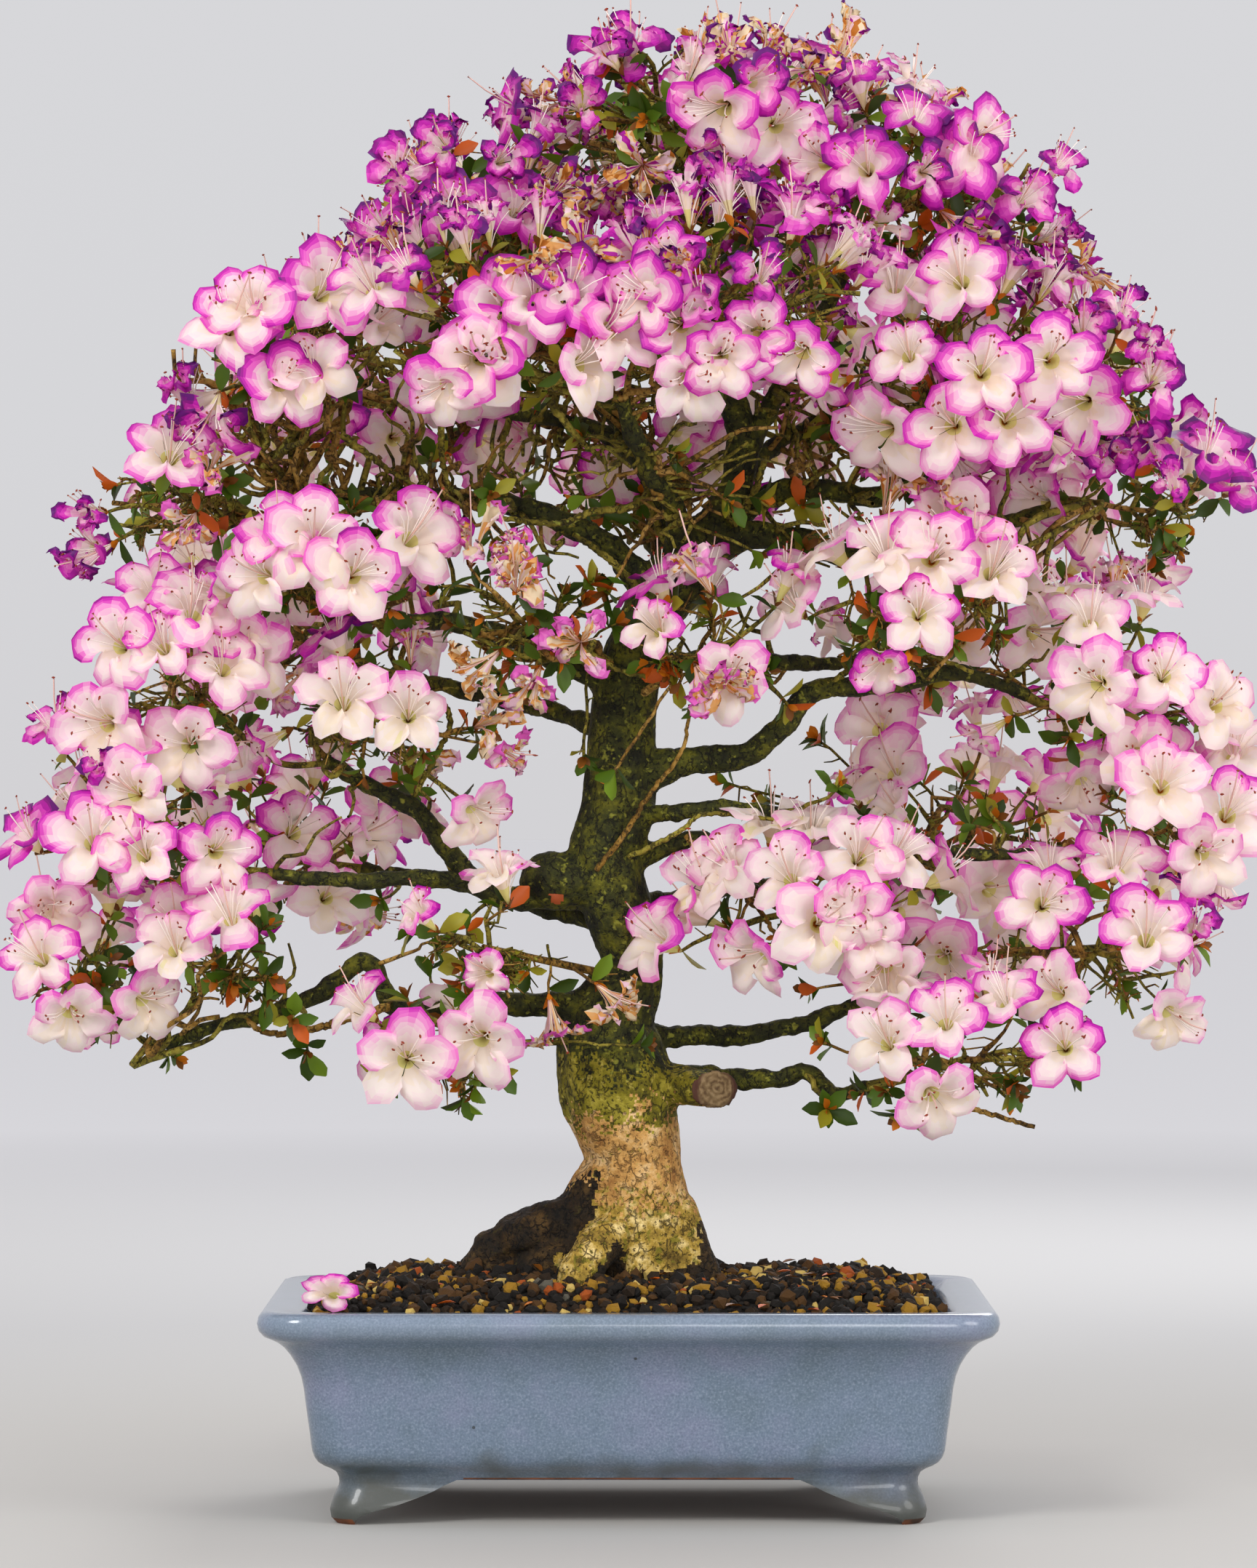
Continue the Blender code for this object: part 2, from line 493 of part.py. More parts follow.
def make_trunk():
    """The trunk with its root flare, knot and sawn stub, cut flat at the ground."""
    path = smooth_path([(x, y, z) for z, x, y, _ in TRUNK], TRUNK_STATIONS)
    heights = [row[0] for row in TRUNK]
    radii = [between(point.z, heights, [row[3] for row in TRUNK]) for point in path]
    trunk = tapered_tube("trunk", path, radii, 2, PARTS)
    added = []
    for k, (way, thick, thin) in enumerate(ROOTS):
        root = smooth_path(way, ROOT_STATIONS)
        added.append(tapered_tube(f"root_{k}", root, taper(thick, thin, ROOT_STATIONS), 1, CUTTERS))
    bm = bmesh.new()
    bmesh.ops.create_uvsphere(bm, u_segments=8, v_segments=6, radius=1.0)
    bmesh.ops.scale(bm, vec=KNOT_RADII, verts=bm.verts)
    bmesh.ops.translate(bm, vec=KNOT_CENTRE, verts=bm.verts)
    added.append(new_object("knot", bm, CUTTERS))
    stub = smooth_path(STUB, ROOT_STATIONS)
    added.append(tapered_tube("stub", stub, [STUB_RADIUS] * ROOT_STATIONS, 2, CUTTERS))
    combine(trunk, added, "UNION", "EXACT")
    side = POT_LENGTH / 2
    below = slab("below", (-side, -side, 0.0), (side, side, GROUND), CUTTERS)
    combine(trunk, [below], "DIFFERENCE", "EXACT")
    trunk.data.materials.append(WOOD)
    return trunk, path


def between(at, stations, values):
    """The value at a station, in a straight line between the two nearest."""
    for a, b, low, high in zip(stations, stations[1:], values, values[1:]):
        if at <= b:
            return low + (high - low) * max(0.0, at - a) / (b - a)
    return values[-1]


def taper(thick, thin, count):
    return [thick + (thin - thick) * k / (count - 1) for k in range(count)]


def point_at_height(path, height):
    """Where a limb's axis first passes a height."""
    for a, b in zip(path, path[1:]):
        if min(a.z, b.z) <= height <= max(a.z, b.z):
            return a.lerp(b, (height - a.z) / (b.z - a.z))
    return min(path, key=lambda point: abs(point.z - height))


def make_boughs(trunk, trunk_path):
    """Each bough is one tapering limb, cut to fit what carries it and the limbs beside it."""
    paths = {"trunk": trunk_path}
    fitted = [trunk]
    for name, (carrier, height, way, thick, thin) in BOUGHS.items():
        start = point_at_height(paths[carrier], height)
        stations = len(way) + BOUGH_EXTRA_STATIONS
        path = smooth_path([start, *way], stations)
        bough = tapered_tube(name, path, taper(thick, thin, stations), 1, PARTS)
        near = [other for other in fitted if boxes_touch(bough, other)]
        combine(bough, [grown_copy(other, CUT_GAP) for other in near], "DIFFERENCE", "EXACT")
        bough.data.materials.append(WOOD)
        paths[name] = path
        fitted.append(bough)
    return paths, fitted


def boxes_touch(one, other):
    for axis in range(3):
        a = [vert.co[axis] for vert in one.data.vertices]
        b = [vert.co[axis] for vert in other.data.vertices]
        if max(a) < min(b) - NEARBY or max(b) < min(a) - NEARBY:
            return False
    return True


def sweep(points, radii, sides):
    """A twig: a tapering tube with few sides along its points, as a bmesh."""
    bm = bmesh.new()
    rings = []
    side_axis = None
    for k, (point, radius) in enumerate(zip(points, radii)):
        ahead = points[min(k + 1, len(points) - 1)] - points[max(k - 1, 0)]
        ahead.normalize()
        if side_axis is None:
            side_axis = ahead.orthogonal()
        side_axis = (side_axis - ahead * side_axis.dot(ahead)).normalized()
        other_axis = ahead.cross(side_axis)
        ring = []
        for step in range(sides):
            angle = 2 * math.pi * step / sides
            around = side_axis * math.cos(angle) + other_axis * math.sin(angle)
            ring.append(bm.verts.new(point + around * radius))
        rings.append(ring)
    for low, high in zip(rings, rings[1:]):
        for k in range(sides):
            n = (k + 1) % sides
            bm.faces.new((low[k], low[n], high[n], high[k]))
    bm.faces.new(rings[0])
    bm.faces.new(rings[-1])
    return bm


def blossom(place, facing, turn, size):
    """A closed funnel with five petals: a pointed back, a scalloped rim and a sunk mouth."""
    bm = bmesh.new()
    bmesh.ops.create_cone(bm, cap_ends=True, cap_tris=True, segments=10, radius1=0.0,
                          radius2=BLOSSOM_RADIUS, depth=BLOSSOM_DEPTH)
    bmesh.ops.remove_doubles(bm, verts=bm.verts, dist=WELD)
    for vert in bm.verts:
        across = math.hypot(vert.co.x, vert.co.y)
        if across > BLOSSOM_RADIUS / 2:
            step = round(math.atan2(vert.co.y, vert.co.x) / (math.pi / 5))
            if step % 2:
                vert.co.x *= BLOSSOM_NOTCH
                vert.co.y *= BLOSSOM_NOTCH
        elif vert.co.z > 0:
            vert.co.z -= BLOSSOM_THROAT
        vert.co.z += BLOSSOM_DEPTH / 2
        vert.co *= size
    frame = facing.to_track_quat("Z", "Y").to_matrix().to_4x4()
    sunk = place - facing * (BLOSSOM_DEPTH * BLOSSOM_SEAT * size)
    matrix = Matrix.Translation(sunk) @ frame @ Matrix.Rotation(turn, 4, "Z")
    bmesh.ops.transform(bm, matrix=matrix, verts=bm.verts)
    return bm


def leaf(place, along, up):
    """A leaf of eight faces, with its root sunk in the twig."""
    bm = bmesh.new()
    bmesh.ops.create_uvsphere(bm, u_segments=4, v_segments=2, radius=0.5)
    bmesh.ops.scale(bm, vec=(LEAF_WIDTH, LEAF_THICK, LEAF_LENGTH), verts=bm.verts)
    for vert in bm.verts:
        if abs(vert.co.z) < LEAF_LENGTH / 4:
            vert.co.z += LEAF_LENGTH * LEAF_SWELL
        vert.co.z += LEAF_LENGTH * (0.5 - LEAF_SUNK)
    across = along.cross(up).normalized()
    normal = across.cross(along).normalized()
    matrix = Matrix((across, normal, along)).transposed().to_4x4()
    bmesh.ops.transform(bm, matrix=Matrix.Translation(place) @ matrix, verts=bm.verts)
    return bm


def bough_end(paths, name, carrier):
    """The point and direction where a mass's stem meets what carries it, and the room that it has."""
    if carrier == "trunk":
        start = point_at_height(paths["trunk"], TRUNK_STEMS[name])
        return start, (Vector(MASSES[name][1]) - start).normalized(), TRUNK_STEM_RADIUS / STEM_PART
    path = paths[carrier]
    along = (path[-1] - path[-2]).normalized()
    return path[-1], along, BOUGHS[carrier][4]


def stem_path(paths, name):
    """A mass's own stem, from the bough's end to the middle of its space."""
    carrier, centre, _ = MASSES[name]
    centre = Vector(centre)
    start, along, room = bough_end(paths, name, carrier)
    shared = [other for other, row in MASSES.items() if row[0] == carrier and carrier != "trunk"]
    radius = room * STEM_PART
    if len(shared) > 1:
        one, other = (Vector(MASSES[sharer][1]) for sharer in shared)
        apart = (one - other) * (1 if name == shared[0] else -1)
        aside = (apart - along * apart.dot(along)).normalized()
        radius = room * TWIN_PART
        start = start + aside * (room - radius)
        along = (along + aside * TWIN_SPREAD).normalized()
    reach = along * (centre - start).length
    first = start + reach * STEM_BENDS[0]
    second = start.lerp(centre, STEM_BENDS[1]) + reach * STEM_SWING
    path = smooth_path([start - along * STEM_SUNK, first, second, centre], STEM_STATIONS)
    return path, taper(radius, max(radius * STEM_TAPER, TWIG_TIP * THINNEST_STEM), STEM_STATIONS)


def in_space(name, bm):
    """True if every corner lies in the mass's reach and on its own side of each neighbour."""
    _, centre, reach = MASSES[name]
    centre = Vector(centre)
    size = Vector(reach).length_squared / 3
    for vert in bm.verts:
        offset = vert.co - centre
        if sum((offset[k] / reach[k]) ** 2 for k in range(3)) > REACH_SLACK:
            return False
        own = offset.length_squared - size
        for other, (_, other_centre, other_reach) in MASSES.items():
            if other == name:
                continue
            other_centre = Vector(other_centre)
            theirs = (vert.co - other_centre).length_squared - Vector(other_reach).length_squared / 3
            if (theirs - own) / (2 * (centre - other_centre).length) < GAP:
                return False
    return True


def tip_places(name, rng):
    """Seeded tips near the mass's outer surface, fewer below, with the way that each faces."""
    _, centre, reach = MASSES[name]
    centre = Vector(centre)
    inward = (Vector((0.0, 0.0, centre.z)) - centre).normalized()
    tips = []
    for _ in range(TIP_TRIES):
        out = Vector((rng.gauss(0, 1), rng.gauss(0, 1), rng.gauss(0, 1))).normalized()
        if out.z < LOWEST_FACING or out.dot(inward) > INWARD_FACING:
            continue
        shell = rng.uniform(SHELL_FROM, SHELL_TO)
        place = centre + Vector([out[k] * reach[k] for k in range(3)]) * shell
        if all((place - other).length > TIP_SPACING for other, _ in tips):
            facing = Vector([out[k] / reach[k] for k in range(3)]).normalized()
            facing = (facing + Vector((0, 0, TIP_LIFT)) - inward * TIP_LIFT).normalized()
            tips.append((place, facing))
    return tips


def join_tips(roots, tips, carriers):
    """Links every point to the stem by the cheapest twigs, each charged for its way back."""
    points = roots + [place for place, _ in tips] + carriers
    parent = {k: k - 1 for k in range(1, len(roots))}
    way_back = {0: 0.0}
    for k in range(1, len(roots)):
        way_back[k] = way_back[k - 1] + (roots[k] - roots[k - 1]).length
    waiting = set(range(len(roots), len(points)))
    leaf_ends = set(range(len(roots), len(roots) + len(tips)))
    while waiting:
        best = None
        for k in waiting:
            for j in way_back:
                if j in leaf_ends:
                    continue
                length = (points[k] - points[j]).length
                cost = length + PATH_COST * way_back[j]
                if best is None or cost < best[0]:
                    best = (cost, k, j, length)
        _, k, j, length = best
        parent[k] = j
        way_back[k] = way_back[j] + length
        waiting.remove(k)
    return points, parent


def make_mass(name, number, stem, hard, other_stems):
    """Twigs, leaves and blossom by one seeded rule, fused to the mass's own stem."""
    rng = random.Random(SEED + number)
    path, radii = stem
    tips = tip_places(name, rng)
    centre = Vector(MASSES[name][1])
    carriers = []
    for place, _ in tips[::2]:
        carriers.append(centre.lerp(place, rng.uniform(FORK_FROM, FORK_TO)) + wander(rng, FORK_WANDER))
    points, parent = join_tips(path[STEM_FORKS_FROM:], tips, carriers)
    first_tip = len(path) - STEM_FORKS_FROM
    load = carried_tips(range(first_tip, first_tip + len(tips)), parent, len(points))
    kept = set(range(first_tip))
    for k in sorted(parent, key=lambda k: depth_of(k, parent)):
        if k >= first_tip and load[k] and parent[k] in kept:
            trial = sweep([points[parent[k]], points[k]], [TWIG_TIP * 2, TWIG_TIP], 3)
            if allowed(name, trial, hard, other_stems):
                kept.add(k)
            trial.free()
    kept_tips = [k for k in range(first_tip, first_tip + len(tips)) if k in kept]
    load = carried_tips(kept_tips, parent, len(points))
    pieces = []
    dressed = []
    for chain in chains_of(kept_tips, parent, load, first_tip):
        thickest = min(TWIG_TIP * load[chain[1]] ** TWIG_POWER, radii[-1])
        widths = [thickest] + [min(TWIG_TIP * load[k] ** TWIG_POWER, thickest) for k in chain[1:]]
        pieces.append(sweep([points[k] for k in chain], widths, 3))
        tip = chain[-1]
        ahead = (points[tip] - points[chain[-2]]).normalized()
        facing = tips[tip - first_tip][1]
        dress_tip(name, points[tip], ahead, facing, rng, hard, other_stems, dressed)
    pieces += [piece for piece, _ in dressed]
    mass = new_object(name, sweep(path, radii, 4), PARTS)
    parts = [new_object(f"{name}_{k}", bm, CUTTERS) for k, bm in enumerate(pieces)]
    return mass, parts


def carried_tips(tips, parent, count):
    """How many tips each point carries."""
    load = [0] * count
    for tip in tips:
        at = tip
        while at in parent:
            load[at] += 1
            at = parent[at]
    return load


def chains_of(tips, parent, load, first_tip):
    """Runs of points, each from a fork to one tip, so that a twig is one piece as far as it can be."""
    heirs = {}
    for tip in sorted(tips, key=lambda k: -depth_of(k, parent)):
        at = tip
        while at >= first_tip and parent[at] not in heirs and parent[at] >= first_tip:
            heirs[parent[at]] = at
            at = parent[at]
    chains = []
    for tip in tips:
        chain = [tip]
        while chain[0] >= first_tip:
            below = parent[chain[0]]
            follows = heirs.get(below) == chain[0]
            chain.insert(0, below)
            if not follows:
                break
        chains.append(chain)
    return sorted(chains, key=len, reverse=True)


def depth_of(k, parent):
    depth = 0
    while k in parent:
        k = parent[k]
        depth += 1
    return depth


def wander(rng, by):
    return Vector((rng.uniform(-by, by), rng.uniform(-by, by), rng.uniform(-by, by)))


def dress_tip(name, tip, ahead, facing, rng, hard, other_stems, dressed):
    """One blossom at the end of a twig, and leaves in a whorl behind it, clear of those before."""
    facing = (facing + wander(rng, FACING_WANDER)).normalized()
    if facing.dot(ahead) > BLOSSOM_ASKEW:
        facing = (facing + ahead.orthogonal().normalized() * 0.5).normalized()
    turn = rng.uniform(0, 2 * math.pi)
    for size in BLOSSOM_SIZES:
        if offer(name, blossom(tip, facing, turn, size), hard, other_stems, dressed):
            break
    aside = ahead.orthogonal().normalized()
    for k in range(LEAVES_PER_TIP):
        spin = Matrix.Rotation(turn + k * LEAF_TURN, 3, ahead)
        along = (spin @ aside + ahead * rng.uniform(-LEAF_TILT, LEAF_TILT)).normalized()
        place = tip - ahead * LEAF_DROP * (1 + k)
        offer(name, leaf(place, along, ahead), hard, other_stems, dressed)


def offer(name, bm, hard, other_stems, dressed):
    """Takes a blossom or a leaf if it has room."""
    tree = BVHTree.FromBMesh(bm)
    if allowed(name, bm, hard, other_stems) and not any(tree.overlap(other) for _, other in dressed):
        dressed.append((bm, tree))
        return True
    bm.free()
    return False


def allowed(name, bm, hard, other_stems):
    if not in_space(name, bm):
        return False
    tree = BVHTree.FromBMesh(bm)
    return not tree.overlap(hard) and not tree.overlap(other_stems)


def surface_tree(objects, by):
    """One search tree over several objects, each grown by a little."""
    bm = bmesh.new()
    for obj in objects:
        copy = grown_copy(obj, by)
        bm.from_mesh(copy.data)
        remove_object(copy)
    tree = BVHTree.FromBMesh(bm)
    bm.free()
    return tree


def make_masses(paths, limbs):
    stems = {name: stem_path(paths, name) for name in MASSES}
    hard = surface_tree(limbs, CLEARANCE)
    solids = {name: new_object(name + "_stem", sweep(*stem, 5), CUTTERS) for name, stem in stems.items()}
    masses = []
    for number, name in enumerate(MASSES):
        others = surface_tree([obj for other, obj in solids.items() if other != name], CLEARANCE)
        mass, parts = make_mass(name, number, stems[name], hard, others)
        combine(mass, parts, "UNION", "MANIFOLD")
        carrier = next(limb for limb in limbs if limb.name == MASSES[name][0])
        combine(mass, [grown_copy(carrier, CUT_GAP)], "DIFFERENCE", "MANIFOLD")
        mass.data.materials.append(FLOWERING)
        masses.append(mass)
    for obj in solids.values():
        remove_object(obj)
    return masses


def centre_on_origin(objects):
    """Moves the whole plant sideways so that its box is centred over the origin."""
    corners = [vert.co for obj in objects for vert in obj.data.vertices]
    shift = Vector((0.0, 0.0, 0.0))
    for axis in range(2):
        places = [corner[axis] for corner in corners]
        shift[axis] = -(min(places) + max(places)) / 2
    for obj in objects:
        obj.data.transform(Matrix.Translation(shift))


for old in list(bpy.data.objects):
    bpy.data.objects.remove(old)
PARTS = new_collection("azalea_bonsai")
CUTTERS = new_collection("cutters")
WOOD = new_material("lichened_bark", BARK, 0.85)
FLOWERING = new_material("blossom_and_leaf", PETAL, 0.6)

pot_solid = make_pot()
soil_solid = make_soil()
trunk_solid, trunk_axis = make_trunk()
limb_paths, limb_solids = make_boughs(trunk_solid, trunk_axis)
mass_solids = make_masses(limb_paths, limb_solids)
centre_on_origin([pot_solid, soil_solid, *limb_solids, *mass_solids])
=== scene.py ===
# %% [markdown]
# # A flowering azalea bonsai in its glazed pot
#
# The real object is a living shrub, trained for decades in a shallow pot of blue-grey stoneware.
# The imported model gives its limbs, its pot and the spaces that its twigs and blossom keep to.
# This lesson loads that model as a fixed frame and grows the fine plant round it: bark with
# relief, thin twigs, leaves, some hundreds of blossoms, and the grains of the soil.
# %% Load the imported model
import math

import bmesh
import bpy
import numpy as np
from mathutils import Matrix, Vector, noise
from mathutils.kdtree import KDTree
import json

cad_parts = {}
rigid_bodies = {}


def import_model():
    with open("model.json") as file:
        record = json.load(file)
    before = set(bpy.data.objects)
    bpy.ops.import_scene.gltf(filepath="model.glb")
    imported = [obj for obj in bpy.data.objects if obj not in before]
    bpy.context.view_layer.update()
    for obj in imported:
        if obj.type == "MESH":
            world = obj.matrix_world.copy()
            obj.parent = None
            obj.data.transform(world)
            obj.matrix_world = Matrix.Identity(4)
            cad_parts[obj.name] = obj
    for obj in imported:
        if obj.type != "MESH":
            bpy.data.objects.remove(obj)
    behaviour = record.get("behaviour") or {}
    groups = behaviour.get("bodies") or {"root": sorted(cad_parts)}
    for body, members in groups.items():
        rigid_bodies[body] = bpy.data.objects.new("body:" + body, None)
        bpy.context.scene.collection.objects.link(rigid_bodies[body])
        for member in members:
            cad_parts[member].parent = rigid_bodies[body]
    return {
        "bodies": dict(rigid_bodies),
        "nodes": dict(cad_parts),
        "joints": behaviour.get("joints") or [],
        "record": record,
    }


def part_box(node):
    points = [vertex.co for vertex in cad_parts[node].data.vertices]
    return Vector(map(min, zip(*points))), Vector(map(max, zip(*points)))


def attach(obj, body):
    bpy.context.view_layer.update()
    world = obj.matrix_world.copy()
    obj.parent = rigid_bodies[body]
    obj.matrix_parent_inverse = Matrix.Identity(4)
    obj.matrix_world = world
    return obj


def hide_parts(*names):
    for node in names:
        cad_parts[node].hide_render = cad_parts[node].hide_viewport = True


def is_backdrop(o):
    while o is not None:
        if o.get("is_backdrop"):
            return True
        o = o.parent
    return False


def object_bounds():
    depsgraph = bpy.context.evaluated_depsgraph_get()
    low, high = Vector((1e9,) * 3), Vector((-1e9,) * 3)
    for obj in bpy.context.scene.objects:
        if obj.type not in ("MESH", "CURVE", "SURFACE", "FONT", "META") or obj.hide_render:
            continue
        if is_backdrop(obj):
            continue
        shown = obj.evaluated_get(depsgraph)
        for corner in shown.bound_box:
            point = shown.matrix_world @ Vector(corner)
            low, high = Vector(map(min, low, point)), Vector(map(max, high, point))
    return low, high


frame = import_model()
CAD_BOX = [list(corner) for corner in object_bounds()]
POT_LOW, POT_HIGH = (np.array(corner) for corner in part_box("pot"))
SHIFT = (POT_LOW + POT_HIGH) / 2 * (1, 1, 0)
MM = 0.001
print("box", [round(side, 3) for corner in CAD_BOX for side in corner], "pot's middle", SHIFT.round(4))


# %% [markdown]
# ## Two helpers for finishes
#
# Blender's colours are linear, but a colour given here is an sRGB hex value. One function turns
# the second into the first. Another adds a shader node with its settings. Where a value is another
# node, its first output is linked, so that every finish below reads as a short recipe.
# %% Colours and shader nodes
def linear(hex_colour):
    channels = [int(hex_colour[k:k + 2], 16) / 255 for k in (1, 3, 5)]
    return (*[c / 12.92 if c <= 0.04045 else ((c + 0.055) / 1.055) ** 2.4 for c in channels], 1.0)


def plug(tree, node, sockets):
    """Sets a node's sockets: a plain value is set, a socket or another node is linked."""
    for name, value in sockets.items():
        if isinstance(value, bpy.types.Node):
            value = value.outputs[0]
        if isinstance(value, bpy.types.NodeSocket):
            tree.links.new(value, node.inputs[name])
        else:
            node.inputs[name].default_value = value


def add(tree, kind, sockets=None, **settings):
    node = tree.nodes.new("ShaderNode" + kind)
    for name, value in settings.items():
        setattr(node, name, value)
    plug(tree, node, sockets or {})
    return node


def new_finish(name, **values):
    """A material with one Principled shader, whose plain values are set on its own sockets."""
    material = bpy.data.materials.new(name)
    material.use_nodes = True
    shader = material.node_tree.nodes["Principled BSDF"]
    plug(material.node_tree, shader, {socket.replace("_", " "): value for socket, value in values.items()})
    return material, material.node_tree, shader


def ramp(tree, factor, stops):
    """A colour ramp: stops are places from 0 to 1 with their hex colours."""
    node = add(tree, "ValToRGB", {"Fac": factor})
    elements = node.color_ramp.elements
    while len(elements) < len(stops):
        elements.new(1.0)
    for element, (place, colour) in zip(elements, stops):
        element.position = place
        element.color = linear(colour)
    return node.outputs["Color"]


def roughen(tree, shader, height, distance):
    """Bump from a height, as deep as a distance in metres."""
    bump = add(tree, "Bump", {"Height": height, "Distance": distance, "Strength": 1.0})
    plug(tree, shader, {"Normal": bump})


# %% [markdown]
# ## Camera
#
# The photograph is taken from about four metres, level, a little above the middle of the pot's
# height, so that the pot shows its rim's far corners and almost none of its soil's back. The focal
# length is worked out from the photograph's own frame: its scale at the trunk is known from the
# pot's real length.
# %% Set up the camera
PHOTO_WIDTH, PHOTO_HEIGHT = 1728, 2156
FOCAL_PIXELS = 8702
CAMERA_DISTANCE = 3.965
CAMERA_HEIGHT = 0.443
HORIZON_PIXEL = 1095
SENSOR = 36.0

camera_data = bpy.data.cameras.new("camera")
camera_data.sensor_width = SENSOR
camera_data.lens = FOCAL_PIXELS * SENSOR / PHOTO_HEIGHT
camera_data.shift_y = (HORIZON_PIXEL - PHOTO_HEIGHT / 2) / PHOTO_HEIGHT
camera = bpy.data.objects.new("camera", camera_data)
camera.location = (SHIFT[0], SHIFT[1] - CAMERA_DISTANCE, CAMERA_HEIGHT)
camera.rotation_euler = (math.pi / 2, 0, 0)
bpy.context.collection.objects.link(camera)
bpy.context.scene.camera = camera
CAMERA_PLACE = np.array(camera.location)
print("lens", round(camera_data.lens, 1), "mm")

# %% [markdown]
# ## Floor and light
#
# A plant photographed for a show stands before pale paper, under large soft lamps. A wide pale
# floor and a sky that fades to the floor's own tone at the horizon give that with no line behind
# the pot. One large lamp from the front left models the petals, and a weaker one fills the right.
# The colours should come out as they are picked, so the plain view transform is used.
# %% Build the floor and the lamps
FLOOR_RADIUS = 60.0
PALER = (0.6, 4.5)  # how far from the pot the paper's painted shade starts and ends to fade
bpy.ops.mesh.primitive_circle_add(vertices=96, radius=FLOOR_RADIUS, fill_type="NGON")
floor = bpy.context.object
floor.name = "floor"
paper, tree, shader = new_finish("pale_studio_paper_with_painted_shade", Roughness=0.9)
# the paper is painted darker near the pot, as painted shade, and paler far from it, as painted light
away = add(tree, "VectorMath", {0: add(tree, "TexCoord").outputs["Object"]}, operation="LENGTH")
far = add(tree, "MapRange", {"Value": away.outputs["Value"], "From Min": PALER[0], "From Max": PALER[1]})
shade = ramp(tree, far, ((0.0, "#bdbbb6"), (0.2, "#bfbebd"), (0.5, "#d0cfce"), (1.0, "#efeeee")))
plug(tree, shader, {"Base Color": shade})
floor.data.materials.append(paper)
floor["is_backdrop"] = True

world = bpy.data.worlds.new("studio")
world.use_nodes = True
bpy.context.scene.world = world
tree = world.node_tree
height = add(tree, "SeparateXYZ", {"Vector": add(tree, "TexCoord").outputs["Generated"]})
SKY = ((0.0, "#d3d2d5"), (0.06, "#d6d6d9"), (0.35, "#dadadd"), (1.0, "#e6e6ec"))
plug(tree, tree.nodes["Background"], {"Color": ramp(tree, height.outputs["Z"], SKY), "Strength": 1.0})


def soft_lamp(name, place, aim, size, power):
    lamp = bpy.data.lights.new(name, "AREA")
    lamp.shape = "DISK"
    lamp.size = size
    lamp.energy = power
    obj = bpy.data.objects.new(name, lamp)
    obj.location = place
    obj.rotation_euler = (Vector(aim) - Vector(place)).to_track_quat("-Z", "Y").to_euler()
    bpy.context.collection.objects.link(obj)


CROWN = (0.0, 0.0, 0.55)
soft_lamp("key_lamp", (-1.6, -2.4, 2.2), CROWN, 1.2, 52.0)
soft_lamp("front_lamp", (0.7, -4.9, 0.8), CROWN, 1.6, 34.0)
soft_lamp("fill_lamp", (2.2, -1.8, 1.2), CROWN, 1.6, 26.0)
soft_lamp("back_lamp", (0.8, 2.4, 1.9), CROWN, 1.4, 26.0)
bpy.context.scene.view_settings.view_transform = "Standard"


# %% [markdown]
# ## Meshes from arrays
#
# A plant has tens of thousands of small things. Each is made as an array of points and an array of
# faces, and all of one kind are joined into one mesh, which is far quicker than an object each.
# A face also says which of the mesh's finishes it takes.
# %% Helpers for meshes
def new_piece(name, parts, finishes, smooth=True):
    """Joins small meshes, each (points, faces, finish of each face), into one object."""
    starts = np.cumsum([0] + [len(points) for points, _, _ in parts])
    faces = []
    looks = []
    for (_, part_faces, part_looks), start in zip(parts, starts):
        faces += (part_faces + start).tolist()
        looks.append(np.broadcast_to(part_looks, len(part_faces)))
    mesh = bpy.data.meshes.new(name)
    mesh.from_pydata(np.concatenate([points for points, _, _ in parts]).tolist(), [], faces)
    for finish in finishes:
        mesh.materials.append(finish)
    mesh.polygons.foreach_set("material_index", np.concatenate(looks).astype(np.int32))
    mesh.polygons.foreach_set("use_smooth", [smooth] * len(faces))
    piece = bpy.data.objects.new(name, mesh)
    bpy.context.collection.objects.link(piece)
    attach(piece, "root")
    print(name, len(parts), "parts,", sum(len(face) - 2 for face in faces), "triangles")
    return piece


def unit(vector):
    return vector / max(np.linalg.norm(vector), 1e-9)


def turned(facing, roll):
    """A matrix that turns +Z to a facing, rolled about it."""
    facing = unit(facing)
    helper = np.array((0.0, 0.0, 1.0)) if abs(facing[2]) < 0.95 else np.array((0.0, 1.0, 0.0))
    side = unit(np.cross(helper, facing))
    up = np.cross(facing, side)
    return np.column_stack((side * math.cos(roll) + up * math.sin(roll),
                            up * math.cos(roll) - side * math.sin(roll), facing))


def grid_faces(rows, columns, closed):
    """Quads of a grid of points, row by row; a closed grid's last column meets its first."""
    across = columns if closed else columns - 1
    row, column = np.meshgrid(np.arange(rows - 1), np.arange(across), indexing="ij")
    a = (row * columns + column).ravel()
    b = (row * columns + (column + 1) % columns).ravel()
    return np.column_stack((a, b, b + columns, a + columns))


def smooth_path(way, stations):
    """Points evenly spaced on a Catmull-Rom curve through the way's points."""
    way = np.array(way, float)
    ends = np.vstack((way[:1] * 2 - way[1:2], way, way[-1:] * 2 - way[-2:-1]))
    t = np.linspace(0, 1, 12, endpoint=False)[:, None]
    fine = [0.5 * (2 * a + (b - p) * t + (2 * p - 5 * a + 4 * b - q) * t ** 2
                   + (3 * a - p - 3 * b + q) * t ** 3)
            for p, a, b, q in zip(ends, ends[1:], ends[2:], ends[3:])]
    fine = np.vstack((*fine, way[-1:]))
    lengths = np.concatenate(([0.0], np.cumsum(np.linalg.norm(np.diff(fine, axis=0), axis=1))))
    wanted = np.linspace(0, lengths[-1], stations)
    return np.column_stack([np.interp(wanted, lengths, fine[:, axis]) for axis in range(3)])


